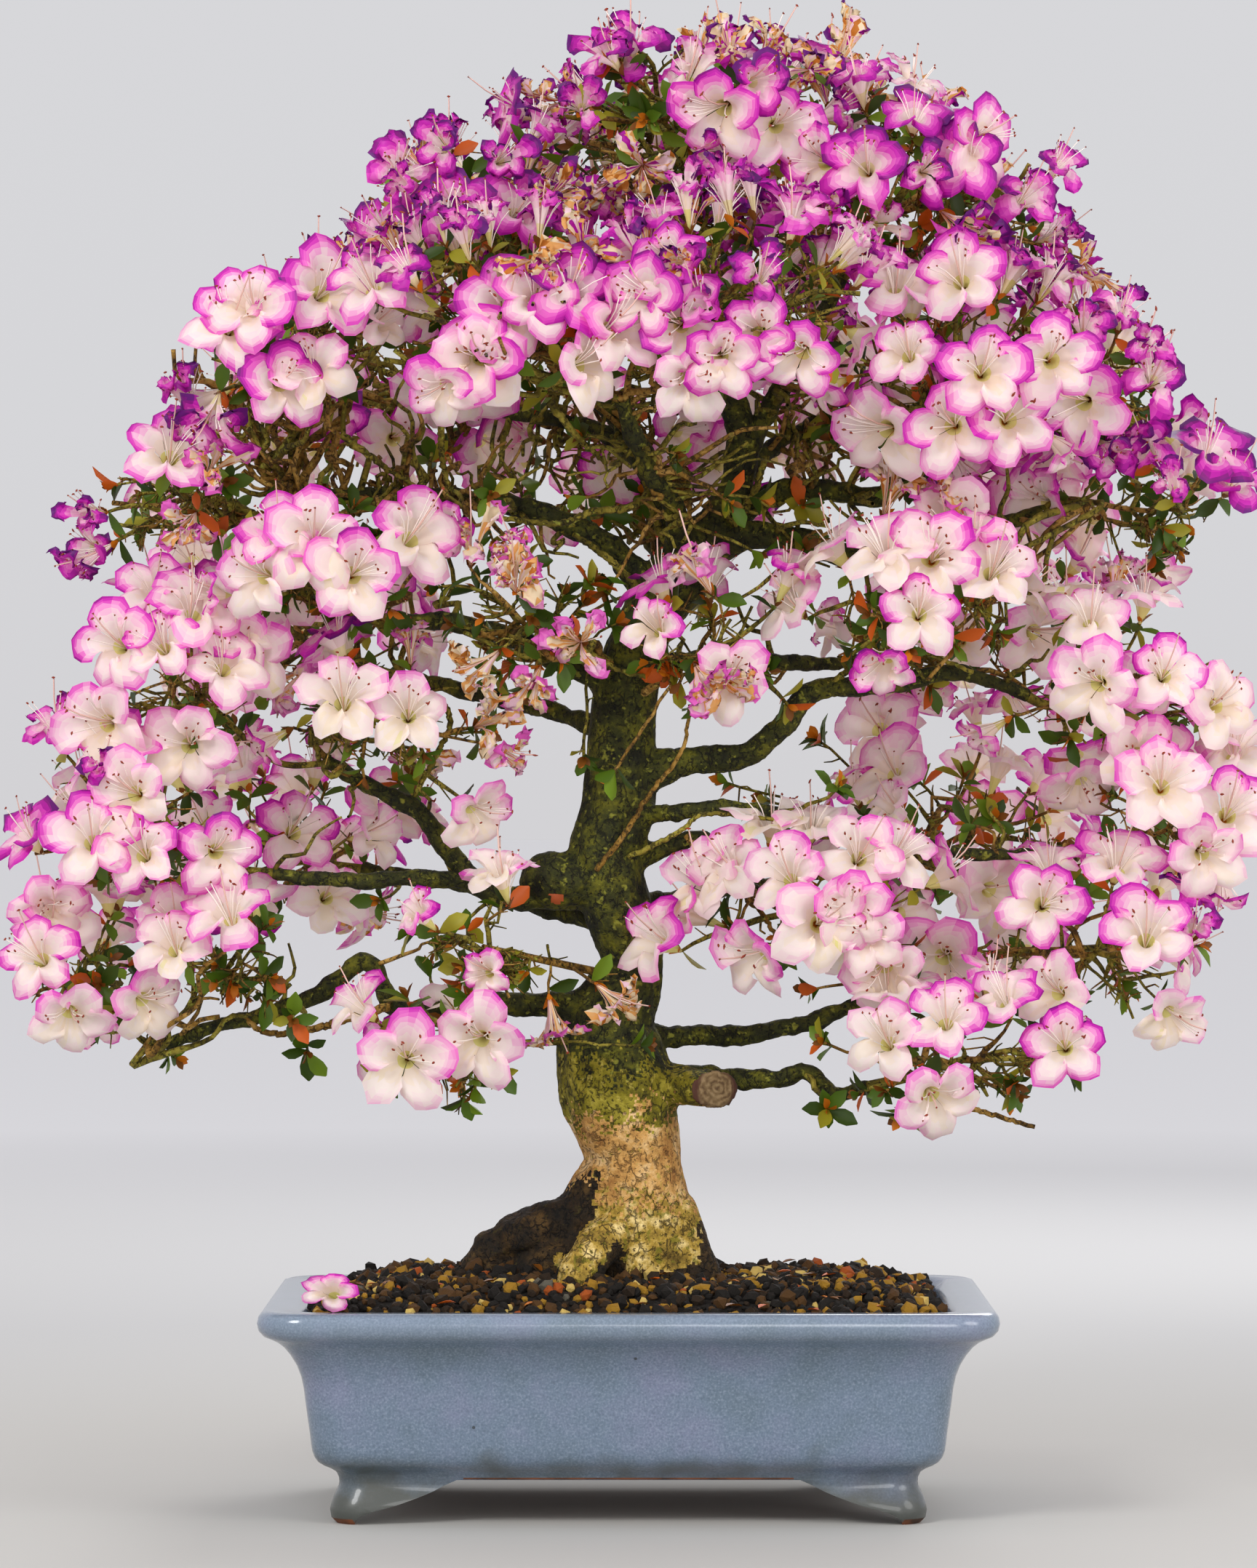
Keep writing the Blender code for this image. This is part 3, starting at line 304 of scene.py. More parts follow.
def tube(path, radii, sides):
    """An open tube's points and quads along a path, with a frame carried along so that it doesn't twist."""
    ahead = np.gradient(path, axis=0)
    ahead /= np.linalg.norm(ahead, axis=1)[:, None]
    side = np.cross(ahead[0], (0.3, 0.5, 0.8))
    angles = np.arange(sides) * 2 * math.pi / sides
    rings = []
    for place, direction, radius in zip(path, ahead, radii):
        side = unit(side - direction * side.dot(direction))
        other = np.cross(direction, side)
        rings.append(place + radius * (np.cos(angles)[:, None] * side + np.sin(angles)[:, None] * other))
    return np.vstack(rings), grid_faces(len(path), sides, True)


# %% [markdown]
# ## Glazed stoneware
#
# The pot is stoneware, pressed in a mould, dipped in a blue-grey glaze and fired. A fired glaze is a
# glass, so it is smooth and glossy, with an IOR near 1.5. It pools and breaks: it turns lavender
# where it is thick, and olive-brown where it runs thin over edges and feet. Pale crystals of half a
# millimetre and a few dark pits lie in it. The clay shows rust-brown only under the feet and along
# the skirt's lower edge, where the glaze was wiped off.
# %% Mix the glaze
SPECK = 1.4 * MM  # drawn coarser than the real half millimetre, so that it shows
PIT_SPACING = 28 * MM
POOLING = 60 * MM
RUN_WIDTH, RUN_DEPTH = 1 / 35, 0.05
WAVE_WIDTH, WAVE_HEIGHT = 1 / 90, 0.25 * MM
THIN_FROM, THIN_AT = 0.068, 0.040  # heights between which the glaze thins
LIP_FROM, LIP_AT = 0.112, 0.119  # heights between which a highlight is painted on towards the lip

glaze, tree, shader = new_finish("dipped_stoneware_glaze", Roughness=0.2, IOR=1.5, Coat_Weight=0.35,
                                 Coat_Roughness=0.08)
place = add(tree, "TexCoord").outputs["Object"]
pools = add(tree, "TexNoise", {"Vector": place, "Scale": 1 / POOLING, "Detail": 3.0, "Roughness": 0.6})
body = ramp(tree, pools, ((0.32, "#5f707e"), (0.5, "#69798c"), (0.68, "#747c94")))
specks = add(tree, "TexNoise", {"Vector": place, "Scale": 1 / SPECK, "Detail": 2.0})
pale = add(tree, "MapRange", {"Value": specks, "From Min": 0.5, "From Max": 0.75, "To Max": 0.45})
speckled = add(tree, "MixRGB", {"Fac": pale, "Color1": body, "Color2": linear("#94a1b2")})
dark = add(tree, "MapRange", {"Value": specks, "From Min": 0.46, "From Max": 0.3, "To Max": 0.35})
mottled = add(tree, "MixRGB", {"Fac": dark, "Color1": speckled, "Color2": linear("#455464")})
pits = add(tree, "TexVoronoi", {"Vector": place, "Scale": 1 / PIT_SPACING, "Randomness": 1.0})
pit = add(tree, "MapRange", {"Value": pits, "From Min": 0.045, "From Max": 0.03, "To Max": 0.8})
pitted = add(tree, "MixRGB", {"Fac": pit, "Color1": mottled, "Color2": linear("#2a2a26")})
level = add(tree, "SeparateXYZ", {"Vector": place}).outputs["Z"]
runs = add(tree, "TexNoise", {"Vector": place, "Scale": 1 / RUN_WIDTH, "Detail": 4.0})
drip = add(tree, "Math", {0: runs, 1: RUN_DEPTH}, operation="MULTIPLY")
thin = add(tree, "Math", {0: level, 1: drip}, operation="ADD")
thinness = add(tree, "MapRange", {"Value": thin, "From Min": THIN_FROM, "From Max": THIN_AT, "To Max": 0.92})
footed = add(tree, "MixRGB", {"Fac": thinness, "Color1": pitted, "Color2": linear("#43443a")})
dull = add(tree, "MapRange", {"Value": thinness, "To Min": 0.2, "To Max": 0.42})
# towards the lip the glaze is painted paler: a painted highlight where the lip's top catches the light
lip_painted_light = add(tree, "MapRange", {"Value": level, "From Min": LIP_FROM, "From Max": LIP_AT, "To Max": 0.16})
lip_lightened = add(tree, "MixRGB", {"Fac": lip_painted_light, "Color1": footed, "Color2": linear("#a4b0bd")})
plug(tree, shader, {"Base Color": lip_lightened, "Roughness": dull})
waves = add(tree, "TexNoise", {"Vector": place, "Scale": 1 / WAVE_WIDTH, "Detail": 2.0})
roughen(tree, shader, waves, WAVE_HEIGHT)

BLOTCH = 1 / 80
bare_clay, tree, shader = new_finish("unglazed_fired_clay", Roughness=0.8, IOR=1.5)
place = add(tree, "TexCoord").outputs["Object"]
blotches = add(tree, "TexNoise", {"Vector": place, "Scale": 1 / BLOTCH, "Detail": 4.0})
plug(tree, shader, {"Base Color": ramp(tree, blotches, ((0.35, "#3d2718"), (0.6, "#7a4526")))})

# %% [markdown]
# ## The pot
#
# The pot's wall is one profile carried round a rounded rectangle: a rolled lip, a waist, a flared
# skirt and four bracket feet left standing where the skirt is cut away between them. A loft through
# many rings, with a Boolean for the hollow and the arches, follows the frame's pot exactly, and a
# fine bevel rounds each cut edge as a glaze does.
# %% Loft the pot
LENGTH, DEPTH = (POT_HIGH - POT_LOW)[:2]
CORNER = 0.030
CORNER_SHRINK = 0.27  # how much of the wall's inset comes off the corner's radius
CORNER_STEPS = 12
# the wall's profile: how far in from the lip, and how high
WALL = (
    (0.0095, 0.1312), (0.0060, 0.1315), (0.0028, 0.1305), (0.0008, 0.1280), (0.0000, 0.1240),
    (0.0010, 0.1195), (0.0040, 0.1160), (0.0085, 0.1138), (0.0122, 0.1118), (0.0160, 0.1085),
    (0.0197, 0.1036), (0.0232, 0.0975), (0.0258, 0.0905), (0.0274, 0.0825), (0.0284, 0.0739),
    (0.0297, 0.0640), (0.0310, 0.0546), (0.0316, 0.0490), (0.0323, 0.0446), (0.0336, 0.0408),
    (0.0358, 0.0376), (0.0390, 0.0353), (0.0433, 0.0332), (0.0466, 0.0308), (0.0476, 0.0285),
    (0.0480, 0.0275), (0.0483, 0.0245), (0.0474, 0.0205), (0.0450, 0.0162), (0.0436, 0.0120),
    (0.0428, 0.0080), (0.0436, 0.0035), (0.0465, 0.0000),
)
HOLLOW = ((0.0180, 0.1380), (0.0190, 0.1318), (0.0220, 0.1296), (0.0270, 0.1262), (0.0300, 0.1220),
          (0.0370, 0.0900), (0.0400, 0.0430))
APRON = 0.027
SKIRT_INSET, UNDERSIDE = 0.063, 0.031
SOLE, BRACKET_LENGTH = 0.012, 0.062
BRACKET = ((0.0, 1.0), (0.12, 0.88), (0.27, 0.71), (0.58, 0.45), (0.85, 0.28), (0.97, 0.14), (1.0, 0.0))
LIP_ROLL = 1.2 * MM
BARE_INSET = 0.057  # the glaze was wiped off the underside within this inset,
BARE_FACING = -0.3  # on faces that look down at least this much,
BARE_STRIP = 1 * MM  # and in a strip this high along the apron's edge


def pot_ring(inset, z):
    half = np.array((LENGTH / 2 - inset, DEPTH / 2 - inset))
    radius = CORNER - CORNER_SHRINK * inset
    ring = []
    for quarter, signs in enumerate(((1, 1), (-1, 1), (-1, -1), (1, -1))):
        for angle in np.linspace(quarter, quarter + 1, CORNER_STEPS + 1) * math.pi / 2:
            x, y = signs * (half - radius) + radius * np.array((math.cos(angle), math.sin(angle)))
            ring.append((x + SHIFT[0], y + SHIFT[1], z))
    return ring


def solid_object(name, points, faces):
    mesh = bpy.data.meshes.new(name)
    mesh.from_pydata([tuple(point) for point in points], [], [list(face) for face in faces])
    work = bmesh.new()
    work.from_mesh(mesh)
    bmesh.ops.recalc_face_normals(work, faces=work.faces)
    work.to_mesh(mesh)
    work.free()
    obj = bpy.data.objects.new(name, mesh)
    bpy.context.collection.objects.link(obj)
    return obj


def loft(name, profile):
    rings = [pot_ring(inset, z) for inset, z in profile]
    count = len(rings[0])
    faces = [list(face) for face in grid_faces(len(rings), count, True)]
    faces += [list(range(count)), list(range((len(rings) - 1) * count, len(rings) * count))]
    return solid_object(name, [point for ring in rings for point in ring], faces)


def arch(name, half_sole, reach, axis):
    """The gap between two feet, run right through the pot along one axis."""
    bracket = [(half_sole - BRACKET_LENGTH * (1 - part), 0, APRON * share) for part, share in BRACKET]
    curve = [(x, z) for x, _, z in smooth_path(bracket, 25)] + [(half_sole, -APRON)]
    outline = [(-x, z) for x, z in curve] + [(x, z) for x, z in reversed(curve)]
    count = len(outline)
    points = []
    for side in (-reach, reach):
        for along, z in outline:
            x, y = (along, side) if axis == "Y" else (side, along)
            points.append((x + SHIFT[0], y + SHIFT[1], z))
    faces = [[k, (k + 1) % count, (k + 1) % count + count, k + count] for k in range(count)]
    return solid_object(name, points, faces + [list(range(count)), list(range(count, 2 * count))])


def apply_modifiers(obj):
    graph = bpy.context.evaluated_depsgraph_get()
    mesh = bpy.data.meshes.new_from_object(obj.evaluated_get(graph))
    obj.modifiers.clear()
    old = obj.data
    obj.data = mesh
    bpy.data.meshes.remove(old)


pot = loft("glazed_pot", WALL)
sole_inset = WALL[-1][0] + SOLE
cutters = [loft("hollow", HOLLOW), loft("under", ((SKIRT_INSET, -0.01), (SKIRT_INSET, UNDERSIDE))),
           arch("front_arch", LENGTH / 2 - sole_inset, DEPTH, "Y"),
           arch("side_arch", DEPTH / 2 - sole_inset, LENGTH, "X")]
for cutter in cutters:
    cut = pot.modifiers.new(cutter.name, "BOOLEAN")
    cut.operation = "DIFFERENCE"
    cut.object = cutter
edge = pot.modifiers.new("rolled_edges", "BEVEL")
edge.width = LIP_ROLL
edge.segments = 2
edge.limit_method = "ANGLE"
edge.angle_limit = math.radians(38)
apply_modifiers(pot)
for cutter in cutters:
    bpy.data.objects.remove(cutter)
pot.data.materials.clear()
pot.data.materials.append(glaze)
pot.data.materials.append(bare_clay)
# faces are cut where the feet end, so that the bare strip ends there too
foot_end = sole_inset + BRACKET_LENGTH + 4 * MM
work = bmesh.new()
work.from_mesh(pot.data)
for axis, half in ((Vector((1, 0, 0)), LENGTH / 2 - foot_end), (Vector((0, 1, 0)), DEPTH / 2 - foot_end)):
    for end in (-half, half):
        everything = [*work.verts, *work.edges, *work.faces]
        bmesh.ops.bisect_plane(work, geom=everything, plane_co=Vector(SHIFT) + axis * end, plane_no=axis)
work.to_mesh(pot.data)
work.free()
for face in pot.data.polygons:
    x_inset = LENGTH / 2 - abs(face.center.x - SHIFT[0])
    y_inset = DEPTH / 2 - abs(face.center.y - SHIFT[1])
    on_strip = max(x_inset, y_inset) > foot_end and face.center.z < APRON + BARE_STRIP
    wiped = min(x_inset, y_inset) > BARE_INSET or face.center.z < 2 * MM or on_strip
    underneath = face.normal.z < BARE_FACING and face.center.z < UNDERSIDE + MM
    face.material_index = int(underneath and wiped)
pot.data.shade_smooth()
pot.data.set_sharp_from_angle(angle=math.radians(50))
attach(pot, "root")
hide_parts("pot")
print("pot", len(pot.data.polygons), "faces")

# %% [markdown]
# ## Potting soil
#
# Such a plant grows in baked clay granules of three to eight millimetres, mixed with dark humus and
# some bark. The bulk is a dark heap, and some thousands of grains lie on it. A grain is an
# icosahedron with its corners pushed about and flat faces, since baked clay breaks that way.
# Each grain takes one of a few plain colours, dealt out at random: most are nearly black or dark
# brown, some ochre, grey or rust. Dropped leaves are laid on it further below, with the leaves.
# %% Heap the soil and scatter the grains
SOIL_TOP = float(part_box("soil")[1][2])
HEAP_INSETS = (0.030, 0.055, 0.075, 0.088)
HEAP_HEIGHTS = (0.1245, 0.1325, 0.1395, SOIL_TOP - 2.5 * MM)
GRAIN_SPACING = 5.6 * MM
GRAIN_COLOURS = {"wet_humus": "#0e0802", "dark_clay_grain": "#221402", "brown_clay_grain": "#462c08",
                 "ochre_clay_grain": "#906a16", "rust_bark_chip": "#96460e", "grey_pumice_grain": "#545044",
                 "pale_pumice_grain": "#c0a458"}
GRAIN_SHARES = (0.40, 0.22, 0.16, 0.13, 0.03, 0.02, 0.04)
GRAIN_SIZES, SIZE_SHARES = (2.3, 3.1, 4.2, 6.0), (0.34, 0.34, 0.22, 0.10)
PORE = 1.2 * MM
MARGIN = 0.031  # how far in from the lip's edge the bed and its grains start
BED_COLUMNS, BED_ROWS = 72, 48
LUMPS_PER_METRE, LUMP_HEIGHT = 28, 3.0 * MM
MOUND_PLACE, MOUND_WIDTH, MOUND_HEIGHT = -0.075, 0.035, 11 * MM  # heaped against the dark root


def heap_height(x, y):
    inset = np.minimum(LENGTH / 2 - np.abs(x - SHIFT[0]), DEPTH / 2 - np.abs(y - SHIFT[1]))
    lumps = np.array([noise.noise((a * LUMPS_PER_METRE, b * LUMPS_PER_METRE, 3.0))
                      for a, b in zip(np.ravel(x), np.ravel(y))])
    mound = MOUND_HEIGHT * np.exp(-((x - MOUND_PLACE) / MOUND_WIDTH) ** 2 - (y / MOUND_WIDTH) ** 2)
    return np.interp(inset, HEAP_INSETS, HEAP_HEIGHTS) + lumps.reshape(np.shape(x)) * LUMP_HEIGHT + mound


grain_finishes = []
for name, colour in GRAIN_COLOURS.items():
    finish, tree, shader = new_finish(name, Base_Color=linear(colour), Roughness=0.9, IOR=1.45)
    place = add(tree, "TexCoord").outputs["Object"]
    pores = add(tree, "TexNoise", {"Vector": place, "Scale": 1 / PORE, "Detail": 3.0})
    roughen(tree, shader, pores, 0.5 * MM)
    grain_finishes.append(finish)

chance = np.random.default_rng(41)
bed_x, bed_y = np.meshgrid(np.linspace(-1, 1, BED_COLUMNS) * (LENGTH / 2 - MARGIN) + SHIFT[0],
                           np.linspace(-1, 1, BED_ROWS) * (DEPTH / 2 - MARGIN) + SHIFT[1])
bed = np.column_stack((bed_x.ravel(), bed_y.ravel(), heap_height(bed_x, bed_y).ravel()))
soil_parts = [(bed, grid_faces(BED_ROWS, BED_COLUMNS, False), 0)]
seed_mesh = bmesh.new()
bmesh.ops.create_icosphere(seed_mesh, subdivisions=1, radius=1.0)
grain_points = np.array([vert.co for vert in seed_mesh.verts])
grain_faces = np.array([[vert.index for vert in face.verts] for face in seed_mesh.faces])
seed_mesh.free()
steps_x = int((LENGTH - 2 * MARGIN) / GRAIN_SPACING)
steps_y = int((DEPTH - 2 * MARGIN) / GRAIN_SPACING)
for i in range(steps_x):
    for j in range(steps_y):
        x = SHIFT[0] + (i + chance.uniform(0, 1) - steps_x / 2) * GRAIN_SPACING
        y = SHIFT[1] + (j + chance.uniform(0, 1) - steps_y / 2) * GRAIN_SPACING
        size = chance.choice(GRAIN_SIZES, p=SIZE_SHARES) * MM
        shape = grain_points * chance.uniform(0.72, 1.22, (len(grain_points), 1)) * chance.uniform(0.7, 1.1, 3)
        turn = turned(chance.normal(size=3), chance.uniform(0, 6.3))
        z = float(heap_height(x, y)) + size * 0.45
        look = chance.choice(len(GRAIN_SHARES), p=GRAIN_SHARES)
        soil_parts.append((shape @ turn.T * size + (x, y, z), grain_faces, look))
soil = new_piece("potting_soil", soil_parts, grain_finishes, smooth=False)
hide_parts("soil")

# %% [markdown]
# ## The limbs' routes
#
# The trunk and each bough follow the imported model's own routes: points along smooth curves, with
# tapering radii. Only the foot and its roots are drawn again a little nearer to the photograph,
# within the same outline. They are written again here because bark needs a much finer mesh than
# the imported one, and because the twigs grow on from the boughs' tips.
# %% The trunk, its roots and the boughs
# height, sideways, back, radius
TRUNK = (
    (0.128, 0.008, 0.000, 0.038), (0.172, 0.008, 0.000, 0.032), (0.219, 0.004, 0.000, 0.0295),
    (0.262, -0.007, 0.002, 0.037), (0.300, -0.012, 0.004, 0.030), (0.335, 0.003, 0.004, 0.0190),
    (0.371, -0.006, 0.000, 0.0215), (0.405, -0.014, -0.003, 0.0240), (0.440, -0.007, -0.004, 0.0235),
    (0.495, -0.004, 0.000, 0.0200), (0.548, 0.010, 0.004, 0.0185), (0.585, 0.034, 0.004, 0.0210),
    (0.606, 0.046, 0.003, 0.0170),
)
# points out from the trunk, thick end, thin end
ROOTS = (
    (((-0.006, -0.004, 0.206), (-0.036, -0.006, 0.177), (-0.072, -0.004, 0.166), (-0.102, 0.002, 0.134)),
     0.022, 0.012),
    (((-0.004, -0.014, 0.174), (-0.017, -0.034, 0.165), (-0.028, -0.046, 0.150), (-0.036, -0.050, 0.126)),
     0.0145, 0.0135),
    (((0.012, -0.002, 0.205), (0.031, -0.006, 0.180), (0.042, -0.010, 0.152), (0.048, -0.012, 0.128)),
     0.016, 0.012),
    (((-0.012, -0.002, 0.168), (-0.042, -0.006, 0.150), (-0.070, -0.004, 0.136), (-0.098, 0.002, 0.122)),
     0.026, 0.018),
    (((0.008, 0.006, 0.205), (0.020, 0.030, 0.172), (0.026, 0.050, 0.148), (0.030, 0.060, 0.128)),
     0.018, 0.012),
    (((-0.004, 0.008, 0.205), (-0.032, 0.030, 0.172), (-0.052, 0.044, 0.146), (-0.064, 0.052, 0.128)),
     0.018, 0.011),
)
KNOT_CENTRE = (-0.041, -0.004, 0.390)
KNOT_RADII = (0.026, 0.022, 0.019)
STUB = ((0.000, 0.000, 0.262), (0.034, -0.010, 0.262), (0.054, -0.036, 0.261))
STUB_RADIUS = 0.0150
# what carries it, the height where it leaves, the points that it passes, thick end, thin end
BOUGHS = {
    "bough_low_left": ("trunk", 0.318, (
        (-0.058, -0.004, 0.312), (-0.100, 0.000, 0.316), (-0.141, -0.005, 0.308), (-0.165, -0.010, 0.340),
        (-0.195, -0.014, 0.318), (-0.245, -0.008, 0.302), (-0.290, 0.000, 0.288)), 0.0085, 0.0042),
    "bough_knot_left": ("trunk", 0.392, (
        (-0.067, -0.008, 0.379), (-0.0975, -0.008, 0.391), (-0.122, -0.012, 0.424), (-0.160, -0.014, 0.449),
        (-0.190, -0.014, 0.466)), 0.0095, 0.0048),
    "bough_knot_low": ("bough_knot_left", 0.391, (
        (-0.128, -0.012, 0.3915), (-0.178, -0.014, 0.3900), (-0.222, -0.012, 0.3950)), 0.0062, 0.0042),
    "bough_mid_left": ("trunk", 0.512, (
        (-0.034, 0.002, 0.525), (-0.067, 0.004, 0.540), (-0.105, 0.008, 0.550), (-0.150, -0.006, 0.554)),
        0.0095, 0.0050),
    "bough_upper_left": ("trunk", 0.566, (
        (-0.012, -0.004, 0.598), (-0.060, -0.008, 0.622), (-0.130, -0.008, 0.630), (-0.205, -0.004, 0.632)),
        0.0085, 0.0048),
    "bough_leader": ("trunk", 0.598, (
        (0.070, 0.006, 0.640), (0.064, 0.008, 0.700), (0.040, 0.004, 0.750), (0.036, 0.004, 0.792)),
        0.0125, 0.0060),
    "bough_crown_left": ("trunk", 0.592, (
        (0.020, 0.004, 0.634), (-0.006, 0.004, 0.680), (-0.050, 0.004, 0.726), (-0.068, 0.000, 0.758)),
        0.0100, 0.0050),
    "bough_right_arm": ("trunk", 0.590, (
        (0.076, -0.004, 0.606), (0.116, -0.004, 0.600), (0.150, -0.004, 0.592), (0.205, 0.000, 0.606),
        (0.262, 0.006, 0.622)), 0.0105, 0.0045),
    "bough_right_high": ("trunk", 0.600, (
        (0.086, 0.004, 0.630), (0.116, 0.000, 0.636), (0.160, -0.004, 0.632), (0.200, -0.006, 0.660)),
        0.0090, 0.0050),
    "bough_crown_right": ("bough_leader", 0.655, (
        (0.090, 0.010, 0.690), (0.112, 0.008, 0.730), (0.134, 0.004, 0.768)), 0.0075, 0.0046),
    "bough_front": ("trunk", 0.586, (
        (0.026, -0.040, 0.625), (0.006, -0.074, 0.656), (-0.004, -0.092, 0.686)), 0.0080, 0.0050),
    "bough_mid_right": ("trunk", 0.450, (
        (0.030, -0.006, 0.464), (0.069, -0.006, 0.4685), (0.096, -0.008, 0.486), (0.116, -0.010, 0.509),
        (0.156, -0.014, 0.512), (0.213, -0.010, 0.520), (0.250, 0.000, 0.506)), 0.0100, 0.0042),
    "bough_right_thin": ("trunk", 0.425, (
        (0.040, -0.020, 0.436), (0.095, -0.024, 0.432), (0.156, -0.020, 0.420), (0.222, -0.014, 0.406),
        (0.288, -0.010, 0.412)), 0.0055, 0.0032),
    "bough_elbow_right": ("trunk", 0.395, (
        (0.024, -0.004, 0.411), (0.048, -0.006, 0.415), (0.066, -0.008, 0.393), (0.086, -0.010, 0.380)),
        0.0070, 0.0042),
    "bough_low_right": ("trunk", 0.272, (
        (0.045, 0.012, 0.266), (0.093, 0.004, 0.266), (0.112, 0.000, 0.270), (0.128, -0.006, 0.257),
        (0.150, -0.016, 0.262)), 0.0085, 0.0044),
    "bough_low_right_long": ("trunk", 0.292, (
        (0.040, 0.020, 0.292), (0.105, 0.030, 0.298), (0.165, 0.034, 0.318), (0.214, 0.024, 0.336)),
        0.0075, 0.0044),
    "bough_back_low_left": ("trunk", 0.362, (
        (-0.050, 0.036, 0.372), (-0.110, 0.070, 0.388), (-0.170, 0.092, 0.396)), 0.0070, 0.0044),
    "bough_back_mid_left": ("trunk", 0.480, (
        (-0.044, 0.036, 0.496), (-0.095, 0.070, 0.508), (-0.145, 0.098, 0.520)), 0.0070, 0.0044),
    "bough_back_low_right": ("trunk", 0.372, (
        (0.036, 0.036, 0.380), (0.090, 0.066, 0.388), (0.145, 0.088, 0.396)), 0.0070, 0.0044),
    "bough_back_mid_right": ("trunk", 0.520, (
        (0.050, 0.036, 0.532), (0.105, 0.072, 0.528), (0.160, 0.098, 0.530)), 0.0070, 0.0044),
    "bough_back_centre": ("trunk", 0.552, (
        (0.020, 0.040, 0.586), (0.016, 0.082, 0.616), (0.014, 0.116, 0.636)), 0.0080, 0.0050),
    "bough_back_high_left": ("bough_crown_left", 0.650, (
        (-0.020, 0.036, 0.674), (-0.062, 0.066, 0.686), (-0.096, 0.090, 0.694)), 0.0062, 0.0044),
    "bough_back_high_right": ("bough_leader", 0.640, (
        (0.090, 0.040, 0.664), (0.116, 0.066, 0.678), (0.142, 0.088, 0.690)), 0.0066, 0.0044),
}
PATH_STEP = 2 * MM


def at_height(path, height):
    """Where a limb's axis first passes a height."""
    z = path[:, 2]
    crossing = np.nonzero((np.minimum(z[:-1], z[1:]) <= height) & (np.maximum(z[:-1], z[1:]) >= height))[0]
    return path[crossing[0]] if len(crossing) else path[np.argmin(np.abs(z - height))]


def stations_for(way):
    return max(4, int(np.linalg.norm(np.diff(np.array(way), axis=0), axis=1).sum() / PATH_STEP))


trunk_way = [(x, y, z) for z, x, y, _ in TRUNK]
paths = {"trunk": smooth_path(trunk_way, stations_for(trunk_way))}
widths = {"trunk": np.interp(paths["trunk"][:, 2], [row[0] for row in TRUNK], [row[3] for row in TRUNK])}
for name, (carrier, height, way, thick, thin) in BOUGHS.items():
    way = [at_height(paths[carrier], height), *way]
    paths[name] = smooth_path(way, stations_for(way))
    widths[name] = np.linspace(thick, thin, len(paths[name]))
for k, (way, thick, thin) in enumerate(ROOTS):
    paths[f"root_{k}"] = smooth_path(way, stations_for(way))
    widths[f"root_{k}"] = np.linspace(thick, thin, len(paths[f"root_{k}"]))
paths["stub"] = smooth_path(STUB, stations_for(STUB))
widths["stub"] = np.full(len(paths["stub"]), STUB_RADIUS)
for path in paths.values():
    path += SHIFT
print(len(paths), "limbs,", round(sum(len(path) for path in paths.values()) * PATH_STEP, 1), "m in all")


# %% [markdown]
# ## Azalea bark
#
# Old azalea bark is thin and brown, with shallow flutes that follow the limb and small cracks across
# them. Its cracks and pits are painted dark, partly as darker bark and partly as painted shade. Here
# olive moss and grey-green lichen cover it above the lower third. The trunk's waist is bare, tan and
# almost flesh-coloured. By the ground the bark is bleached palest, and the damp has blackened it on
# the left. Low on the right it is darker too, and a hollow between two roots is painted dark as
# painted shade. A sawn stub faces the front, and a fresh orange-red cut marks the knot. Each zone is
# one finish, so that the zones stay where they belong however the mesh is used.
# %% Mix the bark's finishes
MOSS_PATCH = 16 * MM
LICHEN_SPOT = 5 * MM
PLATE = 6 * MM
PIT = 2.6 * MM  # drawn coarser than the real half to one millimetre, so that it shows
BUMP_DEPTH = 1.3 * MM


